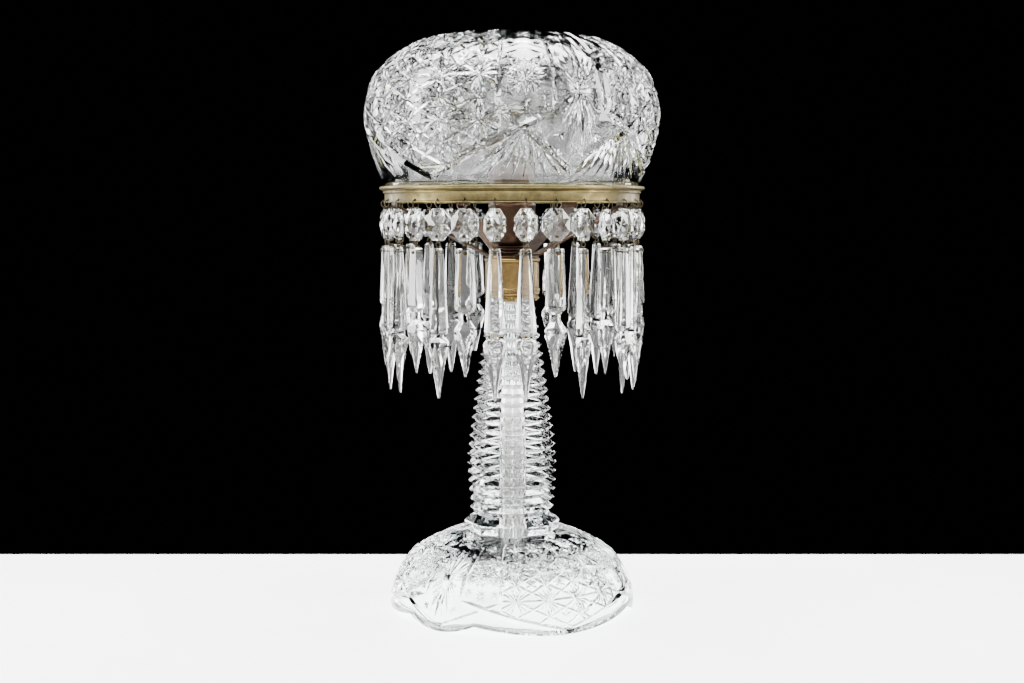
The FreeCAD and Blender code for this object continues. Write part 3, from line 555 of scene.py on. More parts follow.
def cut_sector(dome, cuts, rim, top_s, spacing):
    """Triangles and depths of half a sector; rim(degrees) gives the arc length where the rim lies."""
    span = math.radians(HALF_SECTOR)
    open_top = top_s < dome.length - 1.0
    points = []
    edges = []
    lookup = {}

    def vertex(spot):
        key = (round(spot[0], MAP_DIGITS), round(spot[1], MAP_DIGITS))
        if key not in lookup:
            lookup[key] = len(points)
            points.append(Vector(key))
        return lookup[key]

    for a, b, c in cuts.triangles:
        ids = [vertex(corner[0]) for corner in (a, b, c)]
        for start, end in ((0, 1), (1, 2), (2, 0)):
            if ids[start] != ids[end]:
                edges.append((ids[start], ids[end]))
    chains = [[vertex(dome.flat(math.radians(HALF_SECTOR * k / RIM_STEPS), rim(HALF_SECTOR * k / RIM_STEPS)))
               for k in range(RIM_STEPS + 1)]]
    for side in (0.0, HALF_SECTOR):
        foot = rim(side)
        chains.append([vertex(dome.flat(math.radians(side), foot + (top_s - foot) * k / SIDE_STEPS))
                       for k in range(SIDE_STEPS + 1)])
    if open_top:
        chains.append([vertex(dome.flat(math.radians(HALF_SECTOR * k / TOP_STEPS), top_s))
                       for k in range(TOP_STEPS + 1)])
    for chain in chains:
        edges.extend((a, b) for a, b in zip(chain, chain[1:]) if a != b)
    tree = KDTree(len(points))
    for index, point in enumerate(points):
        tree.insert((point.x, point.y, 0.0), index)
    tree.balance()
    for spot in fill_points(dome, cuts, rim(0.0), top_s, spacing):
        scale = math.hypot(*spot) / max(dome.radius(float(np.interp(
            math.hypot(*spot), dome.rho[::-1], dome.s[::-1]))), 1.0)
        if tree.find((spot[0], spot[1], 0.0))[2] > 0.45 * spacing * scale:
            vertex(spot)
    result = delaunay_2d_cdt(points, edges, [], 0, MAP_MERGE, False)
    flat = np.array([(v.x, v.y) for v in result[0]])
    depth = cuts.depth_at(flat)
    flat = on_borders(flat, span)
    theta, s = dome.unflatten(flat)
    on_rim = np.array([abs(s[k] - rim(math.degrees(theta[k]) % 360)) < LEVEL_SNAP for k in range(len(s))])
    depth[on_rim] = 0.0
    if open_top:
        depth[s > top_s - LEVEL_SNAP] = 0.0
    faces = []
    for face in result[2]:
        middle = flat[list(face)].mean(axis=0)
        angle = math.degrees(math.atan2(middle[1], middle[0]))
        level = float(np.interp(np.hypot(*middle), dome.rho[::-1], dome.s[::-1]))
        sliver = any(np.abs(theta[list(face)] - edge).max() < 1e-7 for edge in (0.0, span))
        if not sliver and -1e-6 < angle < HALF_SECTOR + 1e-6 and rim(angle) < level < top_s:
            faces.append(tuple(face))
    return flat, depth, faces


def cut_surface(dome, cuts, rim, top_s, spacing, first_degrees):
    """The whole cut surface: half a sector, mirrored and repeated, so that its seams meet exactly."""
    flat, depth, faces = cut_sector(dome, cuts, rim, top_s, spacing)
    work = bmesh.new()
    for sector in range(SECTORS):
        turn = math.radians(first_degrees + sector * 360.0 / SECTORS)
        for mirrored in (False, True):
            placed = [work.verts.new(p) for p in dome.raise_points(flat, depth, turn, mirrored)]
            for face in faces:
                corners = [placed[k] for k in face]
                work.faces.new(corners[::-1] if mirrored else corners)
    loose = [v for v in work.verts if not v.link_faces]
    bmesh.ops.delete(work, geom=loose, context="VERTS")
    seams = [v for v in work.verts if v.is_boundary]
    bmesh.ops.remove_doubles(work, verts=seams, dist=SEAM_WELD)
    return work


# ---------------------------------------------------------------- star, fan and panel layout
# One sector runs from the middle of one star field (0) to the middle of the next (120 degrees):
# half a field, a hobstar panel, the tall oval star, a hobstar panel, half a field.

FIELD_EDGE = 30.0
PANEL_MIDDLE = 40.0
OVAL_MIDDLE = 60.0
COLUMN = 15.3
SECTOR = 2.0 * HALF_SECTOR
SPILL = 9.0


def hobstar(cuts, degrees, s, reach, width, depth):
    """A sixteen-point hobstar: a ring of deep points, chords across them, a small star on the button."""
    points = [(reach * math.cos(math.pi * k / 8), reach * math.sin(math.pi * k / 8)) for k in range(16)]
    cuts.star(degrees, s, 16, 0.97 * reach, 0.62 * reach, 1.5 * depth)
    for k in range(16):
        cuts.leaf(degrees, s, points[k], points[(k + 6) % 16], width, depth, 0.5)
    cuts.star(degrees, s, 8, 0.40 * reach, 0.16 * reach, 2.0 * depth)


def star_field(cuts, middle, spec):
    """The lattice of stars, mitre lines and buttons on one field, above its V-shaped lower edge."""
    def floor(offset):
        return spec["v_low"] + spec["v_rise"] * abs(offset)

    def wanted(offset):
        return -SPILL < middle + offset < SECTOR + SPILL

    half_row = spec["row"] / 2.0
    rows = int((spec["field_top"] - spec["v_low"]) / half_row) + 2
    columns = [(k + 0.5) * COLUMN for k in range(-2, 2)]
    for index in range(-1, rows):
        s = spec["first_row"] + (index - 1) * half_row
        main = index % 2 == 1
        for offset in columns:
            clear = s - floor(offset)
            if not wanted(offset) or clear < 3.0 or s > spec["field_top"]:
                continue
            width = math.radians(COLUMN) * cuts.dome.radius(s) / 2.0
            if main:
                cuts.star(middle + offset, s, 16, min(width, half_row) * 1.0, 0.42 * width, 2.5, 0.0)
            else:
                cuts.star(middle + offset, s, 8, 0.80 * width, 0.36 * width, 2.1, 22.5)
        for k in range(-2, 3):
            offset = k * COLUMN
            width = math.radians(COLUMN) * cuts.dome.radius(s) / 2.0
            roomy = floor(offset) + 6.0 < s < spec["field_top"] - 4.0
            if main or not wanted(offset) or abs(offset) > FIELD_EDGE - 8.0 or not roomy:
                continue
            cuts.star(middle + offset, s, 6, 0.46 * width, 0.24 * width, 1.4, 30.0)
        if main and floor(0) < s < spec["field_top"] + 1.0:
            reach = min(FIELD_EDGE, (s - spec["v_low"]) / spec["v_rise"])
            start, end = max(middle - reach, -SPILL), min(middle + reach, SECTOR + SPILL)
            cuts.mitre((start, s), (end, s), 2.6, 1.4, (False, False))
    slope = half_row / COLUMN
    for sign in (-1.0, 1.0):
        for k in range(-3, rows + 3):
            base = spec["first_row"] - 0.5 * half_row + k * half_row
            inside = [o for o in np.arange(-FIELD_EDGE, FIELD_EDGE + 0.01, 1.5)
                      if floor(o) < base + sign * slope * o < spec["field_top"] and wanted(o)]
            if len(inside) > 3:
                low, high = inside[0], inside[-1]
                cuts.mitre((middle + low, base + sign * slope * low),
                           (middle + high, base + sign * slope * high), 2.3, 1.25, (False, False))
    for offset in columns:
        if wanted(offset):
            cuts.mitre((middle + offset, floor(offset)), (middle + offset, spec["field_top"]), 2.1, 1.1,
                       (False, True))


def pattern(dome, spec):
    """Every cut of one sector of the foot or the shade."""
    cuts = Cuts(dome)
    panel = PANEL_MIDDLE
    apex_s = spec["v_low"] + spec["v_rise"] * panel
    for middle in (0.0, SECTOR):
        star_field(cuts, middle, spec)
    edge = spec["v_wide"]
    far = 50.0 * spec["v_rise"] + spec["v_low"]
    steep = (apex_s - spec["oval_foot"]) / (OVAL_MIDDLE - panel)
    high = apex_s + 10.0 * steep * 0.55
    for side in (1.0, -1.0):
        def at(degrees):
            return degrees if side > 0 else SECTOR - degrees
        cuts.mitre((at(-8.0), spec["v_low"] + 8.0 * spec["v_rise"]), (at(0.0), spec["v_low"]), edge,
                   spec["v_deep"], (False, False))
        cuts.mitre((at(0.0), spec["v_low"]), (at(50.0), far), edge, spec["v_deep"], (False, True))
        cuts.mitre((at(30.0), high), (at(60.0), spec["oval_foot"]), 0.7 * edge, 0.7 * spec["v_deep"])
        for degrees in (30.0, 50.0):
            start = spec["v_low"] + spec["v_rise"] * degrees
            cuts.mitre((at(degrees), start), (at(degrees), spec["crown_ring"]), 3.6, 1.8, (True, True))
        star_s = spec["hobstar_s"]
        hobstar(cuts, at(panel), star_s, spec["hobstar_reach"], 2.3, 1.7)
        cuts.star(at(panel), apex_s + 0.5 * (star_s - spec["hobstar_reach"] - apex_s), 8,
                  spec["filler"], 0.3 * spec["filler"], 1.3)
        chevron = star_s + spec["hobstar_reach"] + 1.0
        for way in (-1.0, 1.0):
            cuts.mitre((at(panel + way * 9.5), chevron), (at(panel), chevron + spec["chevron"]), 2.4, 1.3)
            cuts.mitre((at(panel + way * 9.5), chevron + 0.8 * spec["chevron"]),
                       (at(panel), chevron + 1.8 * spec["chevron"]), 1.8, 1.0)
        if spec["second_star"]:
            cuts.star(at(panel), spec["second_star"], 12, 0.85 * spec["filler"] + 2.0, 2.4, 1.6, 15.0)
        for number in range(spec["fan"]):
            share = (number + 0.5) / spec["fan"]
            aim = math.radians(-158.0 + 122.0 * share)
            fall = apex_s - spec["fan_foot"] - 1.5 * math.sin(math.pi * share)
            run = min(fall / abs(math.sin(aim)), 44.0)
            sideways = side * math.cos(aim)
            cuts.leaf(at(panel), apex_s, (2.6 * sideways, 2.6 * math.sin(aim) - 1.6),
                      (run * sideways, run * math.sin(aim)), 3.3, 1.7, 0.66)

    for degrees, s, rays, reach in spec["buttons"]:
        for place in (degrees, SECTOR - degrees):
            cuts.star(place, s, rays, reach, 0.42 * reach, 0.24 * reach)

    def oval(angle):
        tall = spec["oval_up"] if math.sin(angle) > 0 else spec["oval_down"]
        return 1.0 / math.hypot(math.cos(angle) / spec["oval_wide"], math.sin(angle) / tall)

    cuts.star(OVAL_MIDDLE, spec["oval_s"], 32, 1.0, 3.4, 2.4, 360.0 / 64, oval)
    if spec["second_star"]:
        cuts.star(OVAL_MIDDLE, spec["second_star"] + 6.0, 12, 0.8 * spec["filler"], 2.2, 1.5)
    return cuts


SHADE_SPEC = {
    "v_low": 8.0, "v_rise": 0.875, "v_wide": 5.2, "v_deep": 2.6, "row": 30.0, "first_row": 46.0,
    "field_top": 124.0, "crown_ring": 133.0, "hobstar_s": 75.0, "hobstar_reach": 14.2, "filler": 6.5,
    "chevron": 8.0, "second_star": 117.0, "fan": 10, "fan_foot": 5.5, "oval_foot": 9.0, "oval_s": 66.0,
    "oval_up": 40.0, "oval_down": 52.0, "oval_wide": 15.4,
    "buttons": ((33.5, 52.0, 8, 5.6), (33.5, 64.0, 8, 5.6), (33.5, 88.0, 8, 5.0), (46.5, 54.0, 8, 5.4),
                (46.5, 62.0, 8, 4.6), (46.5, 88.0, 8, 5.0), (40.0, 57.0, 8, 4.6), (52.5, 24.0, 8, 5.2),
                (52.5, 36.0, 8, 4.6), (52.5, 92.0, 8, 4.6), (53.0, 104.0, 8, 5.2), (60.0, 112.0, 8, 5.0),
                (34.0, 104.0, 8, 4.6), (46.0, 104.0, 8, 4.6), (8.0, 130.0, 8, 5.0), (23.0, 130.0, 8, 5.0)),
}
FOOT_SPEC = {
    "v_low": 2.2, "v_rise": 0.42, "v_wide": 4.6, "v_deep": 2.2, "row": 23.0, "first_row": 24.0,
    "field_top": 72.0, "crown_ring": 80.0, "hobstar_s": 43.0, "hobstar_reach": 10.5, "filler": 4.2,
    "chevron": 5.0, "second_star": 69.0, "fan": 0, "fan_foot": 0.0, "oval_foot": 3.5, "oval_s": 36.0,
    "oval_up": 31.0, "oval_down": 28.0, "oval_wide": 12.2,
    "buttons": ((33.5, 28.0, 8, 4.2), (33.5, 37.0, 8, 4.2), (33.5, 52.0, 8, 4.0), (46.5, 29.0, 8, 4.2),
                (46.5, 37.0, 8, 3.6), (46.5, 53.0, 8, 3.8), (40.0, 28.0, 8, 4.4), (52.5, 16.0, 8, 3.8),
                (52.5, 60.0, 8, 3.4), (60.0, 72.0, 8, 3.4), (8.0, 76.0, 8, 3.4), (23.0, 76.0, 8, 3.4)),
}


def crown_star(cuts, rays, reach, notch, depth):
    """The many-rayed star on the very top, drawn about the pole of one sector."""
    dome = cuts.dome

    def spot(radius, degrees):
        s = float(np.interp(-radius, -dome.r[len(dome.r) // 2:], dome.s[len(dome.s) // 2:]))
        return dome.flat(math.radians(degrees), s)

    step = 360.0 / rays
    for k in range(-1, int(SECTOR / step) + 1):
        low, middle, high = spot(reach, k * step), spot(notch, (k + 0.5) * step), spot(reach, (k + 1) * step)
        pole = ((0.0, 0.0), depth)
        cuts.triangles.append((pole, (low, 0.0), (middle, 0.0)))
        cuts.triangles.append((pole, (middle, 0.0), (high, 0.0)))


# ---------------------------------------------------------------- shade, foot and column

FOOT_HIGH = box_mm("glass_base")[1]
SHADE_LOW, SHADE_HIGH = box_mm("shade")
WALL = 7.2
SHADE_SIDES = 120
FOOT_SIDES = 144
BORE_RADIUS = 6.5
FOOT_CEILING = 42.0
DOME_TOP = 54.0
COLLAR_START = 53.2
RIBS = 24


def share_outline(shares, radius, base, height):
    """An outline from shares of a radius and of a height above a base."""
    return [(r * radius, base + z * height) for r, z in shares]


SHADE_SHARES = [(0.8555, 0.0), (0.8598, 0.03), (0.8844, 0.08), (0.9306, 0.184), (0.9639, 0.289),
                (0.9906, 0.393), (1.0, 0.49), (0.985, 0.58), (0.955, 0.69), (0.919, 0.754), (0.868, 0.806),
                (0.805, 0.858), (0.735, 0.905), (0.615, 0.957), (0.45, 0.985), (0.25, 0.997), (0.004, 1.0)]
FOOT_SHARES = [(0.998, 0.0), (1.0, 0.08), (0.993, 0.19), (0.97, 0.335), (0.93, 0.465), (0.885, 0.59),
               (0.83, 0.70), (0.76, 0.775), (0.655, 0.87), (0.5, 0.975), (0.35, 1.0)]


def open_border(work):
    """The open edge loops of a sheet, each as a list of vertices."""
    border = dict.fromkeys(v for e in work.edges if e.is_boundary for v in e.verts)
    loops = []
    while border:
        step = [next(iter(border))]
        loop = []
        while step:
            current = step[0]
            del border[current]
            loop.append(current)
            step = [e.other_vert(current) for e in current.link_edges
                    if e.is_boundary and e.other_vert(current) in border]
        loops.append(loop)
    return loops


def joined_skin(work):
    """A Skin that starts from a bmesh sheet, with its border loops as index lists."""
    work.verts.index_update()
    skin = Skin()
    skin.points = [tuple(v.co) for v in work.verts]
    skin.faces = [tuple(v.index for v in f.verts) for f in work.faces]
    loops = [[v.index for v in loop] for loop in open_border(work)]
    return skin, loops


def inner_wall(dome, step, low, high, least):
    """(radius, z) points a wall's thickness inside the dome, between two heights."""
    found = []
    for k in range(0, len(dome.r), step):
        r = dome.r[k] - WALL * dome.normal_r[k]
        z = dome.z[k] - WALL * dome.normal_z[k]
        if r > least and low < z < high:
            found.append((r, z))
    return found


def build_shade(props):
    """The closed dome: cut outside, smooth inside."""
    outline = share_outline(SHADE_SHARES, SHADE_HIGH[0], SHADE_LOW[2], SHADE_HIGH[2] - SHADE_LOW[2] - 0.02)
    dome = Dome(outline)
    cuts = pattern(dome, SHADE_SPEC)
    crown_star(cuts, 24, 50.0, 8.0, 2.4)
    work = cut_surface(dome, cuts, lambda degrees: 0.0, dome.length - 0.3, 4.2, props.field_azimuth - 90.0)
    skin, loops = joined_skin(work)
    work.free()
    loops.sort(key=len)
    rim = loops[-1]
    crown = loops[:-1]
    inner = inner_wall(dome, 6, SHADE_LOW[2] + 0.5, SHADE_HIGH[2], 1.0)
    rings = [skin.ring(circle(dome.r[0] - WALL, SHADE_LOW[2], SHADE_SIDES))]
    for r, z in inner:
        rings.append(skin.ring(circle(r, z, SHADE_SIDES)))
    skin.stitch(rings[0], rim)
    for low, high in zip(rings, rings[1:]):
        skin.strip(high, low, True)
    top = skin.ring([(0.0, 0.0, inner[-1][1])])[0]
    for k in range(SHADE_SIDES):
        skin.smooth.append(len(skin.faces))
        skin.faces.append((rings[-1][(k + 1) % SHADE_SIDES], rings[-1][k], top))
    for loop in crown:
        skin.faces.append(tuple(loop))
    shade = mesh_object("shade_cut_glass", skin.points, skin.faces, "cut_glass", skin.smooth)
    outward(shade)
    settle(shade, "shade", "cut_glass", "shade")


def lobe_rim(degrees):
    """Height of the foot's rim above the table: wide and narrow lobes that hang between notches."""
    notch = 6.5
    half_wide = 42.0
    from_field = min(degrees % SECTOR, SECTOR - degrees % SECTOR)
    if from_field < half_wide:
        half, offset = half_wide, from_field
    else:
        half, offset = HALF_SECTOR - half_wide, HALF_SECTOR - from_field
    chord = math.sin(math.radians(half))
    lift = (math.sin(math.radians(offset)) / chord) ** 2
    return max(notch * lift, 0.02)


def column_levels():
    """(z, corner radius) of every octagon from the knop to the top of the column."""
    base, top, belly_z = 68.0, FOOT_HIGH[2], 109.0
    belly, low, high, groove = 32.4, 29.8, 15.8, 3.8

    def corner(z):
        if z < belly_z:
            return belly - (belly - low) * ((belly_z - z) / (belly_z - base)) ** 2
        return belly - (belly - high) * ((z - belly_z) / (top - belly_z)) ** 1.15

    levels = [(54.6, 33.0), (55.6, 33.5), (61.2, 34.4), (61.9, 34.3), (67.2, 28.0), (68.0, 27.2)]
    pitch = (top - base) / RIBS
    for k in range(RIBS):
        ridge = base + (k + 0.5) * pitch
        valley = base + (k + 1.0) * pitch
        levels.extend((ridge + flat, corner(ridge) - 0.1) for flat in (-0.22, 0.22))
        levels.extend((valley + flat, corner(valley) - groove) for flat in (-0.1, 0.1))
    return levels[:-2] + [(top, high - 1.6)]


def octagon(radius, z, azimuth):
    """An octagon whose corners are clipped by a narrow flat, as a polished corner is."""
    clip = 0.8
    points = []
    for k in range(8):
        angle = math.radians(azimuth - 90.0 + 45.0 * k)
        spread = clip / radius / 2.0
        for side in (-spread, spread):
            r = radius * math.cos(spread)
            points.append((r * math.cos(angle + side), r * math.sin(angle + side), z))
    return points


def build_base(props):
    """Foot and column in one: cut dome, collar, ribbed octagon, bore and hollow underside."""
    outline = share_outline(FOOT_SHARES, FOOT_HIGH[0], 0.0, DOME_TOP)
    dome = Dome(outline)
    cuts = pattern(dome, FOOT_SPEC)
    top_s = dome.at_height(COLLAR_START)

    def rim(degrees):
        return dome.at_height(lobe_rim(degrees))

    work = cut_surface(dome, cuts, rim, top_s, 3.6, props.foot_azimuth - 90.0)
    skin, loops = joined_skin(work)
    work.free()
    loops.sort(key=lambda loop: sum(skin.points[k][2] for k in loop) / len(loop))
    rim_loop, top_loop = loops[0], loops[-1]
    previous = None
    for z, radius in column_levels():
        level = skin.ring(octagon(radius, z, props.vertex_azimuth))
        if previous is None:
            skin.stitch(top_loop, level)
        else:
            skin.strip(previous, level)
        previous = level
    bore = [skin.ring(circle(BORE_RADIUS, z, 48)) for z in (FOOT_HIGH[2], FOOT_CEILING)]
    skin.stitch(bore[0], previous)
    skin.strip(bore[1], bore[0], True)
    inner = inner_wall(dome, 8, 7.5, FOOT_CEILING - 1.0, 0.0)
    inner.append((inner[-1][0] - 7.0, FOOT_CEILING))
    turn = math.radians(props.foot_azimuth - 90.0)
    lip = circle(dome.r[0] - WALL, 0.0, FOOT_SIDES, turn)
    rings = [skin.ring([(x, y, lobe_rim(360.0 * k / FOOT_SIDES)) for k, (x, y, _) in enumerate(lip)])]
    rings.extend(skin.ring(circle(r, z, FOOT_SIDES, turn)) for r, z in inner)
    skin.stitch(rings[0], rim_loop)
    for low, high in zip(rings, rings[1:]):
        skin.strip(high, low, True)
    skin.stitch(bore[1], rings[-1])
    base = mesh_object("base_cut_glass", skin.points, skin.faces, "cut_glass", skin.smooth)
    outward(base)
    settle(base, "lamp_body", "cut_glass", "glass_base")


# ---------------------------------------------------------------- fringe of drops

DROP_COUNT = 28
SHORT_DROPS = (2, 4, 7, 10, 13, 16, 19, 22, 25, 27)
BEAD_TURNS = {0: 52, 1: -44, 4: 18, 5: -14, 8: 24, 11: -35, 15: 62, 18: -20, 21: 40, 24: -16, 26: 12}
SPEAR_TURNS = {0: 8, 1: -6, 3: 14, 6: -25, 9: 40, 12: -12, 14: 20, 17: -30, 20: 16, 23: -18, 27: 26}
DROP_AZIMUTH = -7.107
RING_LIP = 3.4
HANG_RADIUS = box_mm("shade_ring")[1][0] - RING_LIP - 0.65
HANG_Z = 293.9
HOOK_RADIUS = 2.7
BEAD_MIDDLE = -16.9
SPEAR_TOP = -32.4
BEAD_HALF_WIDE = 9.25
BEAD_HALF_TALL = 10.65
BEAD_HALF_DEEP = 4.4
SPEAR_WIDTH = 14.4
WIRE_RADIUS = 0.42
LINK_RADIUS = 1.6
# body, neck and point lengths, width at the head and at the waist
LONG_SPEAR = (56.0, 6.6, 38.0, 7.2, 11.7)
SHORT_SPEAR = (40.0, 14.0, 31.0, 11.9, 8.1)


def placed(points, azimuth, turn):
    """Points of a piece drawn about its hanging point, +X outwards, put in place on the lamp."""
    spin = Matrix.Rotation(math.radians(turn), 4, "Z")
    out = Matrix.Rotation(math.radians(azimuth - 90.0), 4, "Z")
    push = Matrix.Translation((HANG_RADIUS, 0.0, HANG_Z))
    matrix = out @ push @ spin
    return [tuple(matrix @ Vector(p)) for p in points]


def ring_stack(rings, closed_ends=True):
    """Points and faces of a skin over equal rings of points, with capped ends."""
    points = [p for ring in rings for p in ring]
    count = len(rings[0])
    faces = []
    for level in range(len(rings) - 1):
        for k in range(count):
            j = (k + 1) % count
            a = level * count
            faces.append((a + k, a + j, a + count + j, a + count + k))
    if closed_ends:
        faces.append(tuple(range(count - 1, -1, -1)))
        faces.append(tuple(range(len(points) - count, len(points))))
    return points, faces


def bead_shape():
    """A cut octagon: thin girdle, a ring of kite facets, eight wedges that meet in the middle."""
    half_side = math.radians(22.5)

    def ring(x, share, turned):
        first = 0.0 if turned else half_side
        reach = share if turned else share / math.cos(half_side)
        wide, tall = BEAD_HALF_WIDE * reach, BEAD_HALF_TALL * reach
        angles = [first + 2.0 * half_side * k for k in range(8)]
        return [(x, wide * math.cos(a), tall * math.sin(a)) for a in angles]

    rings = [ring(-3.0, 0.60, True), ring(-1.1, 0.985, False), ring(-0.8, 1.0, False),
             ring(0.8, 1.0, False), ring(1.1, 0.985, False), ring(3.0, 0.60, True)]
    points = [(-BEAD_HALF_DEEP, 0.0, 0.0)] + [p for r in rings for p in r] + [(BEAD_HALF_DEEP, 0.0, 0.0)]
    starts = [1 + 8 * level for level in range(len(rings))]
    faces = []
    for k in range(8):
        j = (k + 1) % 8
        faces.append((0, starts[0] + j, starts[0] + k))
        faces.append((starts[-1] + k, starts[-1] + j, len(points) - 1))
        for a, b in zip(starts[1:-2], starts[2:-1]):
            faces.append((a + k, a + j, b + j, b + k))
        for inside, outside, way in ((starts[0], starts[1], 1), (starts[-1], starts[-2], -1)):
            faces.append((inside + j, outside + k, inside + k)[::way])
            faces.append((inside + j, outside + j, outside + k)[::way])
    return points, faces


def spear_section(z, width, depth, table):
    """Eight points round a spear: a flat table front and back, bevels and narrow sides."""
    half = width / 2.0
    thick = depth / 2.0
    side = 0.22 * thick
    flat = table * half
    return [(thick, flat, z), (side, half, z), (-side, half, z), (-thick, flat, z),
            (-thick, -flat, z), (-side, -half, z), (side, -half, z), (thick, -flat, z)]


def spear_shape(short):
    """A spear: bevelled body, cut neck, wide shoulder and a long point whose table runs to a ridge."""
    body, neck, point, head, waist = SHORT_SPEAR if short else LONG_SPEAR
    width = SPEAR_WIDTH
    top = SPEAR_TOP
    end = top - body
    low = end - neck
    tip = low - point
    levels = [
        spear_section(top, head - 1.4, 4.2, 0.40),
        spear_section(top - 0.9, head, 5.4, 0.45),
        spear_section(end + 1.2, width, 8.6, 0.45),
        spear_section(end, width - 0.8, 8.2, 0.42),
        spear_section(end - 0.22 * neck, waist, 5.6, 0.40),
        spear_section(end - 0.60 * neck, waist, 5.6, 0.40),
        spear_section(low, width + 0.8, 8.9, 0.52),
        spear_section(low - 0.10 * point, width + 0.9, 9.3, 0.40),
        spear_section(low - 0.42 * point, 0.66 * width, 7.0, 0.04),
        spear_section(tip, 1.4, 1.2, 0.10),
    ]
    return ring_stack(levels)


def bevelled(obj, width_mm):
    """Take the knife edge off every facet, as polishing does."""
    work = bmesh.new()
    work.from_mesh(obj.data)
    bmesh.ops.remove_doubles(work, verts=work.verts, dist=0.02 * MM)
    sharp = [e for e in work.edges if e.calc_face_angle(0.0) > math.radians(6)]
    bmesh.ops.bevel(work, geom=sharp, offset=width_mm * MM, segments=1, affect="EDGES",
                    clamp_overlap=True, profile=0.5)
    bmesh.ops.recalc_face_normals(work, faces=work.faces)
    work.to_mesh(obj.data)
    work.free()


def wire_tube(path, radius, closed, sides=8):
    """Rings of points along a bent wire; returns points and faces."""
    path = [Vector(p) for p in path]
    count = len(path)
    rings = []
    normal = None
    for k, point in enumerate(path):
        before = path[k - 1] if closed or k > 0 else path[0]
        after = path[(k + 1) % count] if closed or k < count - 1 else path[-1]
        along = (after - before).normalized()
        if normal is None:
            normal = along.orthogonal().normalized()
        normal = (normal - along * normal.dot(along)).normalized()
        across = along.cross(normal)
        rings.append([tuple(point + radius * (normal * math.cos(a) + across * math.sin(a)))
                      for a in [2 * math.pi * j / sides for j in range(sides)]])
    if closed:
        rings.append(rings[0])
    return ring_stack(rings, not closed)


def merge(parts):
    """Several (points, faces) shapes as one."""
    points = []
    faces = []
    for part_points, part_faces in parts:
        start = len(points)
        points.extend(part_points)
        faces.extend(tuple(k + start for k in face) for face in part_faces)
    return points, faces


def loop_path(radius, centre_z, sideways, count=28):
    """Points on an upright circle, seen edge-on from outside or turned to face outwards."""
    path = []
    for k in range(count):
        a = 2 * math.pi * k / count
        u, v = radius * math.cos(a), radius * math.sin(a)
        path.append((0.0, u, centre_z + v) if sideways else (u, 0.0, centre_z + v))
    return path


def upright_ring(radius, x, level, count):
    """Points on a circle about an axis along X."""
    return [(x, y, level + z) for y, z, _ in circle(radius, 0.0, count)]


def pin_parts(level, back, front, tail_end):
    """A pin through glass: domed head in front, shank, then a wire bent up or down to the axis."""
    way = 1.0 if tail_end > level else -1.0
    path = [(front, 0, level), (-back + 0.5, 0, level), (-back + 0.15, 0, level + 0.15 * way),
            (-back, 0, level + 0.5 * way), (-back, 0, tail_end - 0.6 * way),
            (-back + 0.2, 0, tail_end - 0.15 * way), (-back + 0.7, 0, tail_end), (0.0, 0, tail_end)]
    head = []
    for x, radius in ((front - 0.05, 1.15), (front + 0.15, 1.3), (front + 0.4, 1.2), (front + 0.62, 0.8),
                      (front + 0.7, 0.3)):
        head.append(upright_ring(radius, x, level, 14))
    return [wire_tube(path, WIRE_RADIUS, False), ring_stack(head)]


def build_drop(number):
    """One drop: bead, spear and wires, all riding on the drop's own body."""
    body = "drop_%02d" % (number + 1)
    azimuth = DROP_AZIMUTH + 360.0 * number / DROP_COUNT
    bead_turn = BEAD_TURNS.get(number, 5 if number % 2 else -6)
    spear_turn = SPEAR_TURNS.get(number, 4 if number % 3 else -9)
    points, faces = bead_shape()
    points = [(x, y, z + BEAD_MIDDLE) for x, y, z in points]
    bead = mesh_object(body + "_bead", placed(points, azimuth, bead_turn), faces, "drop_glass")
    bevelled(bead, 0.10)
    points, faces = spear_shape(number in SHORT_DROPS)
    spear = mesh_object(body + "_spear", placed(points, azimuth, spear_turn), faces, "drop_glass")
    bevelled(spear, 0.16)
    eye = BEAD_MIDDLE - 13.1
    turned_wires = merge(pin_parts(BEAD_MIDDLE + 7.5, 3.0, 2.3, -2.0 * HOOK_RADIUS)
                         + pin_parts(BEAD_MIDDLE - 7.5, 3.0, 2.3, eye + LINK_RADIUS))
    spear_wires = merge(pin_parts(SPEAR_TOP - 3.2, 4.0, 2.95, eye - LINK_RADIUS))
    hook = wire_tube(loop_path(HOOK_RADIUS, -HOOK_RADIUS, False), 0.38, True)
    link = wire_tube(loop_path(LINK_RADIUS, eye, True, 20), 0.40, True)
    parts = [(placed(p, azimuth, turn), f) for (p, f), turn in
             ((hook, 0.0), (link, 0.0), (turned_wires, bead_turn), (spear_wires, spear_turn))]
    wires = solid(body + "_wires", merge(parts), "black_wire", 50.0)
    settle(bead, body, "cut_glass", body)
    settle(spear, body, "cut_glass")
    settle(wires, body, "dark_bronze")


def build_drops(props):
    """The whole fringe, a drop at each hole of the gallery."""
    for number in range(DROP_COUNT):
        build_drop(number)


# ---------------------------------------------------------------- geometry node trees

BEAD_SIDES = 10
THREAD_STEPS = 40
THREAD_SIDES = 6
FILAMENT_STEPS = 10


def new_tree(name, number_inputs, whole_inputs=()):
    """A geometry tree with named number inputs and a material input; returns it with its input node."""
    tree = bpy.data.node_groups.new(name, "GeometryNodeTree")
    tree.interface.new_socket("Geometry", in_out="OUTPUT", socket_type="NodeSocketGeometry")
    tree.interface.new_socket("Geometry", in_out="INPUT", socket_type="NodeSocketGeometry")
    for label in number_inputs:
        tree.interface.new_socket(label, in_out="INPUT", socket_type="NodeSocketFloat")
    for label in whole_inputs:
        tree.interface.new_socket(label, in_out="INPUT", socket_type="NodeSocketInt")
    tree.interface.new_socket("Material", in_out="INPUT", socket_type="NodeSocketMaterial")
    return tree, add(tree, "NodeGroupInput").outputs


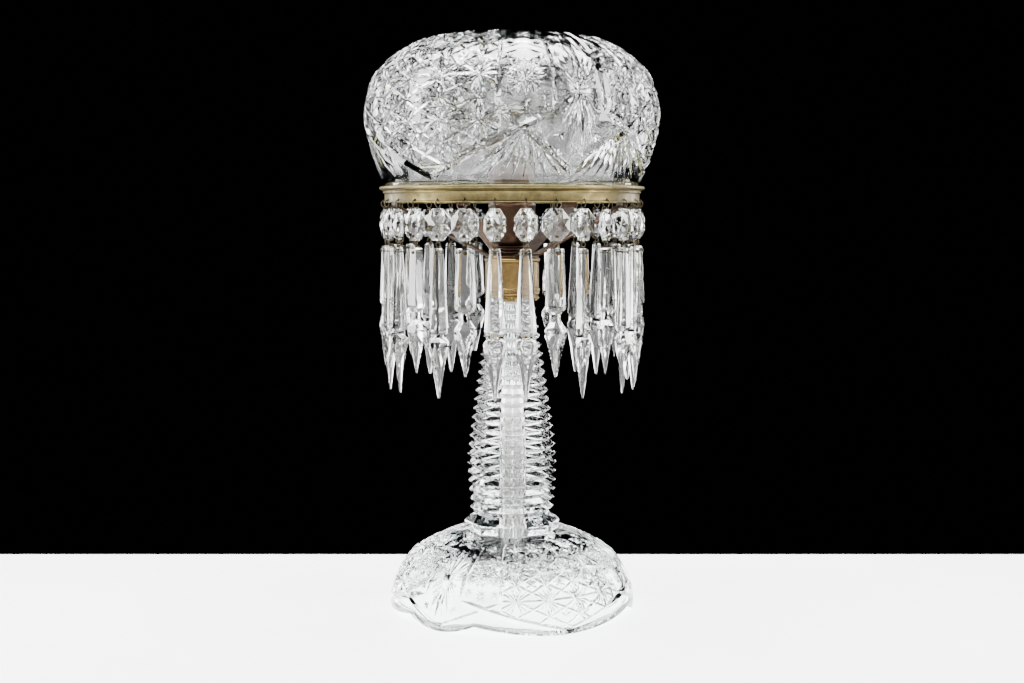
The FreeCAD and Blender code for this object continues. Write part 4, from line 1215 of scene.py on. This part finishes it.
def close_tree(tree, shape, given):
    """End a tree: lifted to its level, real mesh, smooth shading and its material."""
    lift = add(tree, "ShaderNodeCombineXYZ", {"Z": given["Level"]})
    moved = add(tree, "GeometryNodeTransform", {"Geometry": shape, "Translation": lift.outputs[0]})
    real = add(tree, "GeometryNodeRealizeInstances", {"Geometry": moved.outputs[0]})
    smooth = add(tree, "GeometryNodeSetShadeSmooth", {0: real.outputs[0]})
    done = add(tree, "GeometryNodeSetMaterial", {"Geometry": smooth.outputs[0],
                                                 "Material": given["Material"]})
    add(tree, "NodeGroupOutput", {0: done.outputs[0]})
    return tree


def bead_row_tree():
    """A row of round beads set side by side on a level circle."""
    tree, given = new_tree("bead_row", ("Ring Radius", "Bead Radius", "Level"), ("Count",))
    row = add(tree, "GeometryNodeMeshCircle", {"Vertices": given["Count"], "Radius": given["Ring Radius"]})
    bead = add(tree, "GeometryNodeMeshUVSphere", {"Segments": BEAD_SIDES, "Rings": BEAD_SIDES // 2,
                                                  "Radius": given["Bead Radius"]})
    beads = add(tree, "GeometryNodeInstanceOnPoints", {"Points": row.outputs["Mesh"],
                                                       "Instance": bead.outputs["Mesh"]})
    return close_tree(tree, beads.outputs[0], given)


def thread_tree():
    """A rolled screw thread: a round ridge that climbs a cylinder."""
    tree, given = new_tree("rolled_thread", ("Radius", "Ridge", "Turns", "Height", "Level"))
    climb = add(tree, "GeometryNodeCurveSpiral", {
        "Resolution": THREAD_STEPS, "Rotations": given["Turns"], "Start Radius": given["Radius"],
        "End Radius": given["Radius"], "Height": given["Height"]})
    ridge = add(tree, "GeometryNodeCurvePrimitiveCircle", {"Resolution": THREAD_SIDES,
                                                           "Radius": given["Ridge"]})
    swept = add(tree, "GeometryNodeCurveToMesh", {"Curve": climb.outputs[0],
                                                  "Profile Curve": ridge.outputs[0], "Fill Caps": True})
    return close_tree(tree, swept.outputs[0], given)


def filament_tree():
    """A coiled wire along X that bows upwards between its two supports."""
    tree, given = new_tree("bowed_coil", ("Coil Radius", "Wire Radius", "Turns", "Span", "Bow", "Level"))
    coil = add(tree, "GeometryNodeCurveSpiral", {
        "Resolution": FILAMENT_STEPS, "Rotations": given["Turns"], "Start Radius": given["Coil Radius"],
        "End Radius": given["Coil Radius"], "Height": given["Span"]})
    half = add(tree, "ShaderNodeMath", {0: given["Span"], 1: -0.5}, operation="MULTIPLY")
    centred = add(tree, "ShaderNodeCombineXYZ", {"X": half.outputs[0]})
    laid = add(tree, "GeometryNodeTransform", {"Geometry": coil.outputs[0],
                                               "Translation": centred.outputs[0],
                                               "Rotation": (0.0, math.pi / 2, 0.0)})
    spot = add(tree, "GeometryNodeInputPosition")
    parts = add(tree, "ShaderNodeSeparateXYZ", {0: spot.outputs[0]})
    share = add(tree, "ShaderNodeMath", {0: parts.outputs["X"], 1: half.outputs[0]}, operation="DIVIDE")
    square = add(tree, "ShaderNodeMath", {0: share.outputs[0], 1: share.outputs[0]}, operation="MULTIPLY")
    rest = add(tree, "ShaderNodeMath", {0: 1.0, 1: square.outputs[0]}, operation="SUBTRACT")
    rise = add(tree, "ShaderNodeMath", {0: rest.outputs[0], 1: given["Bow"]}, operation="MULTIPLY")
    push = add(tree, "ShaderNodeCombineXYZ", {"Z": rise.outputs[0]})
    bent = add(tree, "GeometryNodeSetPosition", {"Geometry": laid.outputs[0], "Offset": push.outputs[0]})
    wire = add(tree, "GeometryNodeCurvePrimitiveCircle", {"Resolution": THREAD_SIDES,
                                                          "Radius": given["Wire Radius"]})
    swept = add(tree, "GeometryNodeCurveToMesh", {"Curve": bent.outputs[0],
                                                  "Profile Curve": wire.outputs[0], "Fill Caps": True})
    return close_tree(tree, swept.outputs[0], given)


def grown(name, tree, material, **values):
    """Run a tree once and keep what it makes as a plain mesh; values are inputs, with _ for spaces."""
    obj = bpy.data.objects.new(name, bpy.data.meshes.new(name))
    bpy.context.scene.collection.objects.link(obj)
    modifier = obj.modifiers.new("growth", "NODES")
    modifier.node_group = tree
    wanted = {key.replace("_", " "): value for key, value in values.items()}
    wanted["Material"] = finish_of(material)
    for item in tree.interface.items_tree:
        if item.in_out == "INPUT" and item.name in wanted:
            modifier[item.identifier] = wanted[item.name]
    shown = obj.evaluated_get(bpy.context.evaluated_depsgraph_get())
    mesh = bpy.data.meshes.new_from_object(shown)
    obj.modifiers.clear()
    obj.data = mesh
    return obj


def join_meshes(target, others):
    """Add other objects' meshes to one, materials and all."""
    with bpy.context.temp_override(active_object=target, selected_editable_objects=[target] + others):
        bpy.ops.object.join()
    return target


# ---------------------------------------------------------------- brass work

CAP_LOW, CAP_HIGH = box_mm("column_cap")
NECK_LOW, NECK_HIGH = box_mm("neck_rings")
RING_LOW, RING_HIGH = box_mm("shade_ring")
SOCKET_LOW, SOCKET_HIGH = box_mm("socket_cap")
SHELL_LOW, SHELL_HIGH = box_mm("socket_shell")
STRAP = 1.6
STRAP_HALF_WIDE = 5.5
PIPE_HOLE = 5.25
RIVET_RING = 15.0
ARM_GAP = 0.25
BAND_WALL = 1.3
LEDGE_RADIUS = 82.0
HOOK_HOLE_RADIUS = 0.95
TURNED_SIDES = 96
GALLERY_SIDES = 224


def build_cap(props):
    """The spun brass cap that holds the column: bright rim, plain cylinder, beaded foot."""
    edge = CAP_HIGH[0]
    wall = edge - 0.95
    low, high = CAP_LOW[2], CAP_HIGH[2]
    inside = wall - 2.9
    outline = [(PIPE_HOLE, low + 5.05), (inside - 0.4, low + 5.05), (inside - 0.4, low)]
    outline += arc_points((wall - 1.7, low + 0.9), 0.9, -90.0, 60.0, 5)
    outline += arc_points((wall - 1.35, low + 3.4), 0.9, -50.0, 50.0, 5)
    outline += arc_points((wall - 0.9, low + 5.6), 1.2, -50.0, 50.0, 5)
    outline += arc_points((wall - 0.6, low + 8.4), 1.0, -60.0, 70.0, 6)
    outline += [(wall - 0.15, low + 10.2), (wall - 0.05, low + 11.2), (wall - 0.05, high - 3.4),
                (wall - 0.3, high - 3.1), (wall - 0.3, high - 2.7)]
    outline += arc_points((edge - 1.25, high - 1.25), 1.24, -80.0, 100.0, 9)
    outline += [(wall - 1.6, high - 0.3), (wall - 1.6, low + 6.7), (PIPE_HOLE, low + 6.7)]
    cap = lathe("column_cap_spun", outline, "cap_brass", 128)
    tree = bead_row_tree()
    rows = [(wall - 1.15, 1.25, low + 2.1, 52), (wall - 0.35, 1.0, low + 7.2, 68)]
    beads = [grown("cap_beads", tree, "cap_brass", Ring_Radius=radius * MM, Bead_Radius=bead * MM,
                   Level=level * MM, Count=count) for radius, bead, level, count in rows]
    join_meshes(cap, beads)
    settle(cap, "lamp_body", "aged_brass", "column_cap")


def build_neck(props):
    """The stack of turned rings between arms and socket, gone nearly black in its grooves."""
    low, high = NECK_LOW[2] + STRAP, NECK_HIGH[2]
    outline = [(PIPE_HOLE, low - STRAP + 0.02), (10.5, low - STRAP + 0.02), (10.5, low)]
    outline += arc_points((11.5, low + 1.0), 1.05, -80.0, 80.0, 7)
    outline += [(10.7, low + 2.3)]
    outline += arc_points((11.0, low + 3.35), 0.85, -70.0, 70.0, 6)
    outline += [(10.6, low + 4.4)]
    outline += arc_points((10.7, low + 5.1), 0.65, -70.0, 70.0, 5)
    outline += [(10.3, high), (PIPE_HOLE, high)]
    neck = lathe("neck_rings_turned", outline, "dark_bronze", TURNED_SIDES)
    settle(neck, "lamp_body", "dark_bronze", "neck_rings")


def build_hub(props):
    """The disc that carries the arms, with a rounded edge."""
    edge = 0.5
    radius, _, high = box_mm("spider_hub")[1]
    low = box_mm("spider_hub")[0][2]
    outline = [(PIPE_HOLE, low)]
    outline += arc_points((radius - edge, low + edge), edge, -90.0, 0.0, 3)
    outline += arc_points((radius - edge, high - edge), edge, 0.0, 90.0, 3)
    outline += [(PIPE_HOLE, high)]
    hub = lathe("spider_hub_disc", outline, "dark_bronze", TURNED_SIDES)
    settle(hub, "lamp_body", "dark_bronze", "spider_hub")
    heads = []
    low, high = [corner[2] for corner in box_mm("arm_rivets")]
    for azimuth in arm_azimuths(props):
        angle = math.radians(azimuth - 90.0)
        head = [(0.0, low), (1.48, low), (1.48, high - 1.45), (2.55, high - 1.4), (2.6, high - 1.1),
                (2.0, high - 0.4), (1.0, high - 0.05), (0.0, high)]
        rivet = lathe("arm_rivet_heads", head, "dark_bronze", 20)
        rivet.data.transform(Matrix.Translation((RIVET_RING * MM * math.cos(angle),
                                                 RIVET_RING * MM * math.sin(angle), 0.0)))
        heads.append(rivet)
    rivets = join_meshes(heads[0], heads[1:])
    settle(rivets, "lamp_body", "dark_bronze", "arm_rivets")


def arm_azimuths(props):
    """Where the four arms point, in degrees to the right of the front."""
    return [props.arm_azimuth + 90.0 * k for k in range(4)]


def bent_path(corners, radius, steps=6):
    """A polyline whose inner corners are rounded."""
    points = [Vector(corners[0])]
    for before, corner, after in zip(corners, corners[1:], corners[2:]):
        corner = Vector(corner)
        back = (Vector(before) - corner).normalized()
        on = (Vector(after) - corner).normalized()
        half = back.angle(on) / 2.0
        reach = radius / math.tan(half)
        centre = corner + (back + on).normalized() * (radius / math.sin(half))
        start, end = corner + back * reach, corner + on * reach
        for k in range(steps + 1):
            swing = (start - centre).lerp(end - centre, k / steps).normalized()
            points.append(centre + swing * radius)
    points.append(Vector(corners[-1]))
    return points


def build_arms(props):
    """Four flat straps that rise from the hub to the gallery, their edges softened by tumbling."""
    hub_top = box_mm("spider_hub")[1][2]
    wall = RING_HIGH[0] - RING_LIP - BAND_WALL - ARM_GAP
    half, thick, soft = STRAP_HALF_WIDE, STRAP / 2, 0.35
    for number, azimuth in enumerate(arm_azimuths(props), start=1):
        node = "spider_arm_%d" % number
        top = box_mm(node)[1][2]
        corners = [(11.0, hub_top + thick), (20.0, hub_top + thick),
                   (wall - thick, 290.0 - 0.3 * STRAP), (wall - thick, top)]
        path = bent_path(corners, 2.2)
        rings = []
        for k, point in enumerate(path):
            along = (path[min(k + 1, len(path) - 1)] - path[max(k - 1, 0)]).normalized()
            normal = Vector((-along.y, along.x))
            section = []
            for y, n in ((half, soft - thick), (half - soft, -thick), (soft - half, -thick),
                         (-half, soft - thick), (-half, thick - soft), (soft - half, thick),
                         (half - soft, thick), (half, thick - soft)):
                place = point + normal * n
                section.append((place.x, y, place.y))
            rings.append(section)
        points, faces = ring_stack(rings)
        turn = Matrix.Rotation(math.radians(azimuth - 90.0), 4, "Z")
        points = [tuple(turn @ Vector(p)) for p in points]
        arm = solid(node + "_strap", (points, faces), "dark_bronze", 30.0)
        settle(arm, "lamp_body", "dark_bronze", node)


def build_gallery(props):
    """The ring that holds the shade: rolled lip, recess, plain band and small foot bead."""
    band = RING_HIGH[0] - RING_LIP
    low = RING_LOW[2]
    ledge = SHADE_LOW[2]
    inner = band - BAND_WALL
    outline = [(inner, low), (band, low)]
    outline += arc_points((band - 0.1, low + 0.6), 0.6, -80.0, 80.0, 6)
    outline += [(band - 0.3, low + 1.3), (band - 0.3, ledge - 3.2), (band - 0.1, ledge - 2.7)]
    outline += arc_points((band + 0.15, ledge - 1.9), 0.75, -80.0, 60.0, 6)
    outline += [(band + 0.55, ledge - 1.0), (band + 0.9, ledge - 0.75)]
    outline += arc_points((band + RING_LIP - 1.25, ledge + 1.15), 1.24, -70.0, 120.0, 12)
    outline += [(band + 0.5, ledge + 1.0), (band + 0.05, ledge - 0.02), (LEDGE_RADIUS, ledge - 0.02),
                (LEDGE_RADIUS, ledge - 1.3), (inner, ledge - 1.3)]
    ring = lathe("shade_gallery_ring", outline, "aged_brass", GALLERY_SIDES)
    points, faces = ring_stack([upright_ring(HOOK_HOLE_RADIUS, x, 0.0, 16) for x in (-6.0, 6.0)])
    drilled(ring, merge([(placed(points, DROP_AZIMUTH + 360.0 * number / DROP_COUNT, 0.0), faces)
                         for number in range(DROP_COUNT)]), 35.0)
    settle(ring, "lamp_body", "aged_brass", "shade_ring")


# ---------------------------------------------------------------- socket, key and bulb

KEY_LOW, KEY_HIGH = box_mm("switch_key")
BASE_LOW, BASE_HIGH = box_mm("bulb_base")
BULB_LOW, BULB_HIGH = box_mm("bulb_glass")
SCREW_LOW, SCREW_HIGH = box_mm("screw_shell")
KEY_HOLE_RADIUS = 1.68
THREADED_SIDES = 72
SMALL_SIDES = 32


def build_socket(props):
    """The socket: bulbous brown cap with a bead where it grips the shell, and a shell with a rolled mouth."""
    low, high = SOCKET_LOW[2], SOCKET_HIGH[2]
    widest = SOCKET_HIGH[0]
    shape = [(10.8, low), (13.8, low + 1.5), (16.3, low + 6.0), (17.35, low + 11.0), (widest, low + 16.0),
             (17.2, low + 20.6), (16.72, low + 24.0)]
    outer = [tuple(p) for p in spline_outline(shape, 5)]
    roll = arc_points((16.45, high - 1.6), 0.75, -50.0, 50.0, 5)
    grip = [(16.72, high - 3.2)] + roll + [(16.7, high - 0.1), (16.5, high)]
    inside = [(16.0, high), (16.0, low + 24.0), (16.4, low + 20.6), (widest - 0.8, low + 16.0),
              (16.55, low + 11.0), (15.5, low + 6.3), (12.6, low + 2.3), (10.0, low + 0.8),
              (PIPE_HOLE, low + 0.8)]
    cap = lathe("socket_cap_spun", [(PIPE_HOLE, low)] + outer + grip + inside, "dark_bronze", TURNED_SIDES)
    level = (KEY_LOW[2] + KEY_HIGH[2]) / 2.0
    drilled(cap, ring_stack([[(x, y, level + z) for x, z, _ in circle(KEY_HOLE_RADIUS, 0.0, 24)]
                             for y in (12.0, 24.0)]), 35.0)
    settle(cap, "lamp_body", "dark_bronze", "socket_cap")
    radius = SHELL_HIGH[0] - 1.0
    low, high = SHELL_LOW[2], SHELL_HIGH[2]
    outline = [(radius - 0.8, low), (radius, low), (radius, high - 4.2)]
    outline += arc_points((radius - 0.05, high - 1.5), 1.04, -75.0, 75.0, 8)
    outline += [(radius - 0.3, high), (radius - 0.8, high)]
    shell = lathe("socket_shell_drawn", outline, "dark_bronze", TURNED_SIDES)
    settle(shell, "lamp_body", "dark_bronze", "socket_shell")


def build_key(props):
    """The turn key: steel shaft, moulded hub and a flat thumb piece with two rounded wings."""
    level = (KEY_LOW[2] + KEY_HIGH[2]) / 2.0
    reach = KEY_HIGH[1] - 9.0
    start = KEY_LOW[1]
    outline = [(0.0, start), (1.4, start), (1.6, start + 0.2), (1.6, reach - 4.0), (2.5, reach - 3.9),
               (3.3, reach + 0.6), (3.2, reach + 1.0), (0.0, reach + 1.0)]
    key = lathe("switch_key_thumb", outline, "black_plastic", SMALL_SIDES)
    key.data.transform(Matrix.Rotation(-math.pi / 2, 4, "X"))
    key.data.transform(Matrix.Translation((0.0, 0.0, level * MM)))
    wings = []
    for k in range(36):
        angle = 2 * math.pi * k / 36
        along, tall = math.cos(angle), math.sin(angle)
        waist = 1.0 - 0.16 * math.exp(-(tall / 0.35) ** 2) * (1.0 if along > 0 else 0.0)
        wings.append((reach + 4.5 + 4.45 * waist * math.copysign(abs(along) ** 0.6, along),
                      level + 6.45 * math.copysign(abs(tall) ** 0.75, tall)))
    sections = []
    for x, share in ((-1.15, 0.86), (-0.95, 0.96), (-0.6, 1.0), (0.6, 1.0), (0.95, 0.96), (1.15, 0.86)):
        sections.append([(x, reach + 4.5 + (y - reach - 4.5) * share, level + (z - level) * share)
                         for y, z in wings])
    join_meshes(key, [solid("key_paddle", ring_stack(sections), "black_plastic", 50.0)])
    settle(key, "switch_key", "black_plastic", "switch_key")


def build_screw_parts(props):
    """The socket's screw shell and the bulb's base, each with a rolled thread."""
    tree = thread_tree()
    low, high = SCREW_LOW[2], SCREW_HIGH[2]
    outer = SCREW_HIGH[0]
    wall = [(outer - 0.45, low), (outer, low), (outer, high), (outer - 0.45, high)]
    shell = lathe("screw_shell_rolled", wall, "bright_brass", THREADED_SIDES)
    ridge = grown("shell_thread", tree, "bright_brass", Radius=(outer - 0.3) * MM, Ridge=0.28 * MM,
                  Turns=6.0, Height=(high - low - 3.0) * MM, Level=(low + 1.5) * MM)
    join_meshes(shell, [ridge])
    settle(shell, "lamp_body", "bright_brass", "screw_shell")
    low, high = BASE_LOW[2], BASE_HIGH[2]
    outer = BASE_HIGH[0]
    outline = [(0.0, low), (6.0, low), (outer - 2.0, low + 3.0), (outer - 0.45, low + 4.5),
               (outer - 0.45, high - 3.0), (outer - 0.1, high - 1.2), (outer, high), (outer - 0.5, high),
               (outer - 0.9, high - 3.0), (outer - 0.9, low + 5.5), (0.0, low + 5.5)]
    base = lathe("bulb_base_cap", outline, "bright_brass", THREADED_SIDES)
    ridge = grown("base_thread", tree, "bright_brass", Radius=(outer - 0.5) * MM, Ridge=0.48 * MM,
                  Turns=4.0, Height=13.0 * MM, Level=(low + 5.2) * MM)
    join_meshes(base, [ridge])
    settle(base, "bulb", "bright_brass", "bulb_base")


def build_bulb(props):
    """The clear bulb: blown globe and neck, pressed stem with its lead wires, and a coiled filament."""
    radius = BULB_HIGH[0]
    top = BULB_HIGH[2]
    centre = top - radius
    neck = BASE_HIGH[0] - 0.62
    globe = arc_points((0.0, centre), radius, -46.0, 90.0, 30)
    globe[-1] = (0.0, top)
    throat = [tuple(p) for p in spline_outline([(neck, BULB_LOW[2]), (neck, BASE_HIGH[2] + 0.5),
                                                (neck + 0.5, BASE_HIGH[2] + 6.0), globe[0]], 6)][:-1]
    outer = throat + globe
    wall = 0.55
    inner = [(max(r - wall, 0.0), z) for r, z in throat]
    inner += [(max((radius - wall) / radius * r, 0.0), centre + (z - centre) * (radius - wall) / radius)
              for r, z in globe]
    outline = outer + inner[::-1]
    glass = lathe("bulb_envelope_blown", outline, "bulb_glass", THREADED_SIDES)
    settle(glass, "bulb", "bulb_glass", "bulb_glass")
    low = box_mm("bulb_stem")[0][2]
    flare = [(0.0, 0.0), (8.8, 0.0), (6.2, 2.6), (3.6, 6.0), (2.8, 9.0), (2.7, 20.0), (3.0, 24.5),
             (1.6, 25.8), (0.0, 26.0)]
    stem = lathe("bulb_stem_pressed", [(r, low + z) for r, z in flare], "bulb_glass", SMALL_SIDES)
    settle(stem, "bulb", "bulb_glass", "bulb_stem")
    coil_low, coil_high = box_mm("filament")
    span = coil_high[0] - 0.3
    wires = []
    for side in (-1.0, 1.0):
        path = [(side * 1.6, 0.0, low + 23.0), (side * 2.0, 0.0, low + 27.0),
                (side * 5.6, 0.0, low + 33.0), (side * span, 0.0, coil_low[2] + 0.5)]
        wires.append(wire_tube(path, 0.22, False))
    coil = solid("filament_coil", merge(wires), "tungsten", 180.0)
    wire = grown("filament_wire", filament_tree(), "tungsten", Coil_Radius=0.32 * MM,
                 Wire_Radius=0.08 * MM, Turns=34.0, Span=2.0 * span * MM, Bow=2.9 * MM,
                 Level=(coil_low[2] + 0.5) * MM)
    join_meshes(coil, [wire])
    settle(coil, "bulb", "tungsten", "filament")


HIDDEN_PARTS = {
    "lamp_pipe": "zinc_steel", "foot_washer": "zinc_steel", "foot_nut": "zinc_steel",
    "foot_pad": "rubber_pad", "column_seat": "rubber_pad", "cord_bushing": "black_plastic",
    "socket_core": "porcelain", "socket_liner": "fibre_liner", "centre_contact": "bright_brass",
    "bulb_contact": "bright_brass",
}


def dress_hidden_parts(props):
    """Finish the plain turned parts that keep their own shape."""
    for node, key in HIDDEN_PARTS.items():
        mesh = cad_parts[node].data
        if not mesh.materials:
            mesh.materials.append(finish_of(key))
        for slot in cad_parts[node].material_slots:
            slot.material = finish_of(key)


# ---------------------------------------------------------------- floor, lights and camera


def build_floor(props):
    """A pale slab to stand on, its straight back edge a hand's breadth behind the lamp."""
    half_wide, front, back, thick = 1500.0, -1600.0, props.floor_back * 1000.0, 30.0
    corners = [(-half_wide, front), (half_wide, front), (half_wide, back), (-half_wide, back)]
    material, tree = blank_material("table_matt_white")
    place = add(tree, "ShaderNodeTexCoord").outputs["Object"]
    grain = add(tree, "ShaderNodeTexNoise", {"Vector": place, "Scale": features(40.0), "Detail": 3.0})
    tone = add(tree, "ShaderNodeValToRGB", {"Fac": grain.outputs["Fac"]},
               stops=((0.3, "#FAFAFA"), (0.7, "#FDFDFD")))
    paint = add(tree, "ShaderNodeBsdfPrincipled", {"Base Color": tone.outputs["Color"], "Roughness": 0.5})
    add(tree, "ShaderNodeOutputMaterial", {"Surface": paint.outputs[0]})
    FINISHES["table"] = material
    shape = ring_stack([[(x, y, z) for x, y in corners] for z in (-thick, 0.0)])
    solid("floor", shape, "table")


LIGHTS = (
    # name, place (m), aimed at (m), size (m), watts
    ("light_left", (-1.00, -0.20, 0.60), (0.0, 0.0, 0.25), (0.36, 1.00), 32.0),
    ("light_right", (1.00, -0.30, 0.60), (0.0, 0.0, 0.25), (0.30, 1.00), 26.0),
    ("light_top", (0.0, 0.05, 1.20), (0.0, 0.0, 0.30), (1.00, 0.55), 84.0),
    ("light_back_left", (-0.95, 0.70, 0.50), (0.0, 0.0, 0.25), (0.22, 0.85), 13.0),
    ("light_back_right", (0.95, 0.70, 0.50), (0.0, 0.0, 0.25), (0.22, 0.85), 13.0),
    ("light_front", (0.0, -1.90, 0.80), (0.0, 0.0, 0.20), (2.40, 1.50), 26.0),
)
CAMERA_LENS = 49.0
CAMERA_DISTANCE = 1.004
CAMERA_HEIGHT = 0.287
CAMERA_TIP = 5.4


def build_lights(props):
    """Soft boxes round a dark room, as cut glass is lit."""
    for name, place, aim, size, watts in LIGHTS:
        data = bpy.data.lights.new(name, "AREA")
        data.shape = "RECTANGLE"
        data.size, data.size_y = size
        data.energy = watts * props.light_strength
        lamp = bpy.data.objects.new(name, data)
        lamp.location = place
        lamp.rotation_euler = (Vector(aim) - Vector(place)).to_track_quat("-Z", "Y").to_euler()
        bpy.context.scene.collection.objects.link(lamp)
    world = bpy.data.worlds.new("dark_room")
    world.use_nodes = True
    world.node_tree.nodes.clear()
    room = add(world.node_tree, "ShaderNodeBackground", {"Color": linear("#020202"), "Strength": 1.0})
    add(world.node_tree, "ShaderNodeOutputWorld", {"Surface": room.outputs[0]})
    bpy.context.scene.world = world


def build_camera(props):
    """The camera, a metre in front, a little above the middle and tipped down."""
    data = bpy.data.cameras.new("camera")
    data.lens = CAMERA_LENS
    data.sensor_width = 36.0
    camera = bpy.data.objects.new("camera", data)
    camera.location = (0.0, -CAMERA_DISTANCE, CAMERA_HEIGHT)
    camera.rotation_euler = (math.radians(90.0 - CAMERA_TIP), 0.0, 0.0)
    bpy.context.scene.collection.objects.link(camera)
    bpy.context.scene.camera = camera


# ---------------------------------------------------------------- add-on


class LampGlassProps(bpy.types.PropertyGroup):
    field_azimuth: bpy.props.FloatProperty(
        name="Shade field", default=-35.0,
        description="Where the first star field of the shade faces, in degrees")
    foot_azimuth: bpy.props.FloatProperty(
        name="Foot field", default=25.0,
        description="Where the first star field of the foot faces, in degrees")
    vertex_azimuth: bpy.props.FloatProperty(
        name="Column corner", default=3.0,
        description="Where the first corner of the column faces, in degrees")
    glass_tint: colour_choice("Glass tint", "cut_glass")


class LampMetalProps(bpy.types.PropertyGroup):
    arm_azimuth: bpy.props.FloatProperty(
        name="First arm", default=25.0, description="Where the first arm points, in degrees")
    gallery_brass: colour_choice("Gallery brass", "aged_brass")
    cap_brass: colour_choice("Cap brass", "cap_brass")
    arm_bronze: colour_choice("Arm bronze", "dark_bronze")


class LampStageProps(bpy.types.PropertyGroup):
    floor_back: bpy.props.FloatProperty(
        name="Floor depth", default=0.14, unit="LENGTH",
        description="How far the floor reaches behind the lamp")
    light_strength: bpy.props.FloatProperty(
        name="Light strength", default=1.0, description="Scales every light")


class Builder:
    """What the operators share: each runs its builders with its own group of properties."""

    group = "lamp_metal"
    builders = ()

    def execute(self, context):
        for build in self.builders:
            build(getattr(context.scene, self.group))
        return {"FINISHED"}


class LAMP_OT_base(Builder, bpy.types.Operator):
    """Build the cut-glass foot and column"""

    bl_idname = "lamp.base"
    bl_label = "Base"
    group = "lamp_glass"
    builders = (build_base,)


class LAMP_OT_shade(Builder, bpy.types.Operator):
    """Build the cut-glass shade"""

    bl_idname = "lamp.shade"
    bl_label = "Shade"
    group = "lamp_glass"
    builders = (build_shade,)


class LAMP_OT_drops(Builder, bpy.types.Operator):
    """Build every bead, spear and wire of the fringe"""

    bl_idname = "lamp.drops"
    bl_label = "Fringe of drops"
    group = "lamp_glass"
    builders = (build_drops,)


class LAMP_OT_cap(Builder, bpy.types.Operator):
    """Build the brass cap and the turned rings above it"""

    bl_idname = "lamp.cap"
    bl_label = "Column cap"
    builders = (build_cap, build_neck)


class LAMP_OT_arms(Builder, bpy.types.Operator):
    """Build the hub, its rivets and the four arms"""

    bl_idname = "lamp.arms"
    bl_label = "Arms"
    builders = (build_hub, build_arms)


class LAMP_OT_gallery(Builder, bpy.types.Operator):
    """Build the ring that holds the shade and the drops"""

    bl_idname = "lamp.gallery"
    bl_label = "Gallery"
    builders = (build_gallery,)


class LAMP_OT_socket(Builder, bpy.types.Operator):
    """Build the socket, its screw shell and the switch key"""

    bl_idname = "lamp.socket"
    bl_label = "Socket"
    builders = (build_socket, build_screw_parts, build_key)


class LAMP_OT_bulb(Builder, bpy.types.Operator):
    """Build the clear bulb with its filament"""

    bl_idname = "lamp.bulb"
    bl_label = "Bulb"
    group = "lamp_glass"
    builders = (build_bulb,)


class LAMP_OT_hidden(Builder, bpy.types.Operator):
    """Finish the plain turned parts inside the lamp"""

    bl_idname = "lamp.hidden"
    bl_label = "Hidden parts"
    builders = (dress_hidden_parts,)


class LAMP_OT_stage(Builder, bpy.types.Operator):
    """Build the floor, the lights and the camera"""

    bl_idname = "lamp.stage"
    bl_label = "Stage"
    group = "lamp_stage"
    builders = (build_floor, build_lights, build_camera)


OPERATORS = (LAMP_OT_base, LAMP_OT_shade, LAMP_OT_drops, LAMP_OT_cap, LAMP_OT_arms, LAMP_OT_gallery,
             LAMP_OT_socket, LAMP_OT_bulb, LAMP_OT_hidden, LAMP_OT_stage)
GROUPS = {"lamp_glass": LampGlassProps, "lamp_metal": LampMetalProps, "lamp_stage": LampStageProps}


class LAMP_PT_panel(bpy.types.Panel):
    """Lists the sizes and the pieces of the lamp"""

    bl_idname = "LAMP_PT_panel"
    bl_label = "Cut Glass Lamp"
    bl_space_type = "VIEW_3D"
    bl_region_type = "UI"
    bl_category = "Lamp"

    def draw(self, context):
        for name, group in GROUPS.items():
            for key in group.__annotations__:
                self.layout.prop(getattr(context.scene, name), key)
        for kind in OPERATORS:
            self.layout.operator(kind.bl_idname)


def register():
    """Add the property groups, the operators and the panel."""
    for kind in (*GROUPS.values(), *OPERATORS, LAMP_PT_panel):
        bpy.utils.register_class(kind)
    for name, group in GROUPS.items():
        setattr(bpy.types.Scene, name, bpy.props.PointerProperty(type=group))


def unregister():
    """Take them out again."""
    for name in GROUPS:
        delattr(bpy.types.Scene, name)
    for kind in (LAMP_PT_panel, *OPERATORS, *GROUPS.values()):
        bpy.utils.unregister_class(kind)


def main():
    """Build every piece."""
    register()
    for kind in OPERATORS:
        group, verb = kind.bl_idname.split(".")
        if getattr(getattr(bpy.ops, group), verb)() != {"FINISHED"}:
            raise RuntimeError("the operator %s did not finish" % kind.bl_idname)
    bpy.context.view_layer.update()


if __name__ == "__main__":
    main()
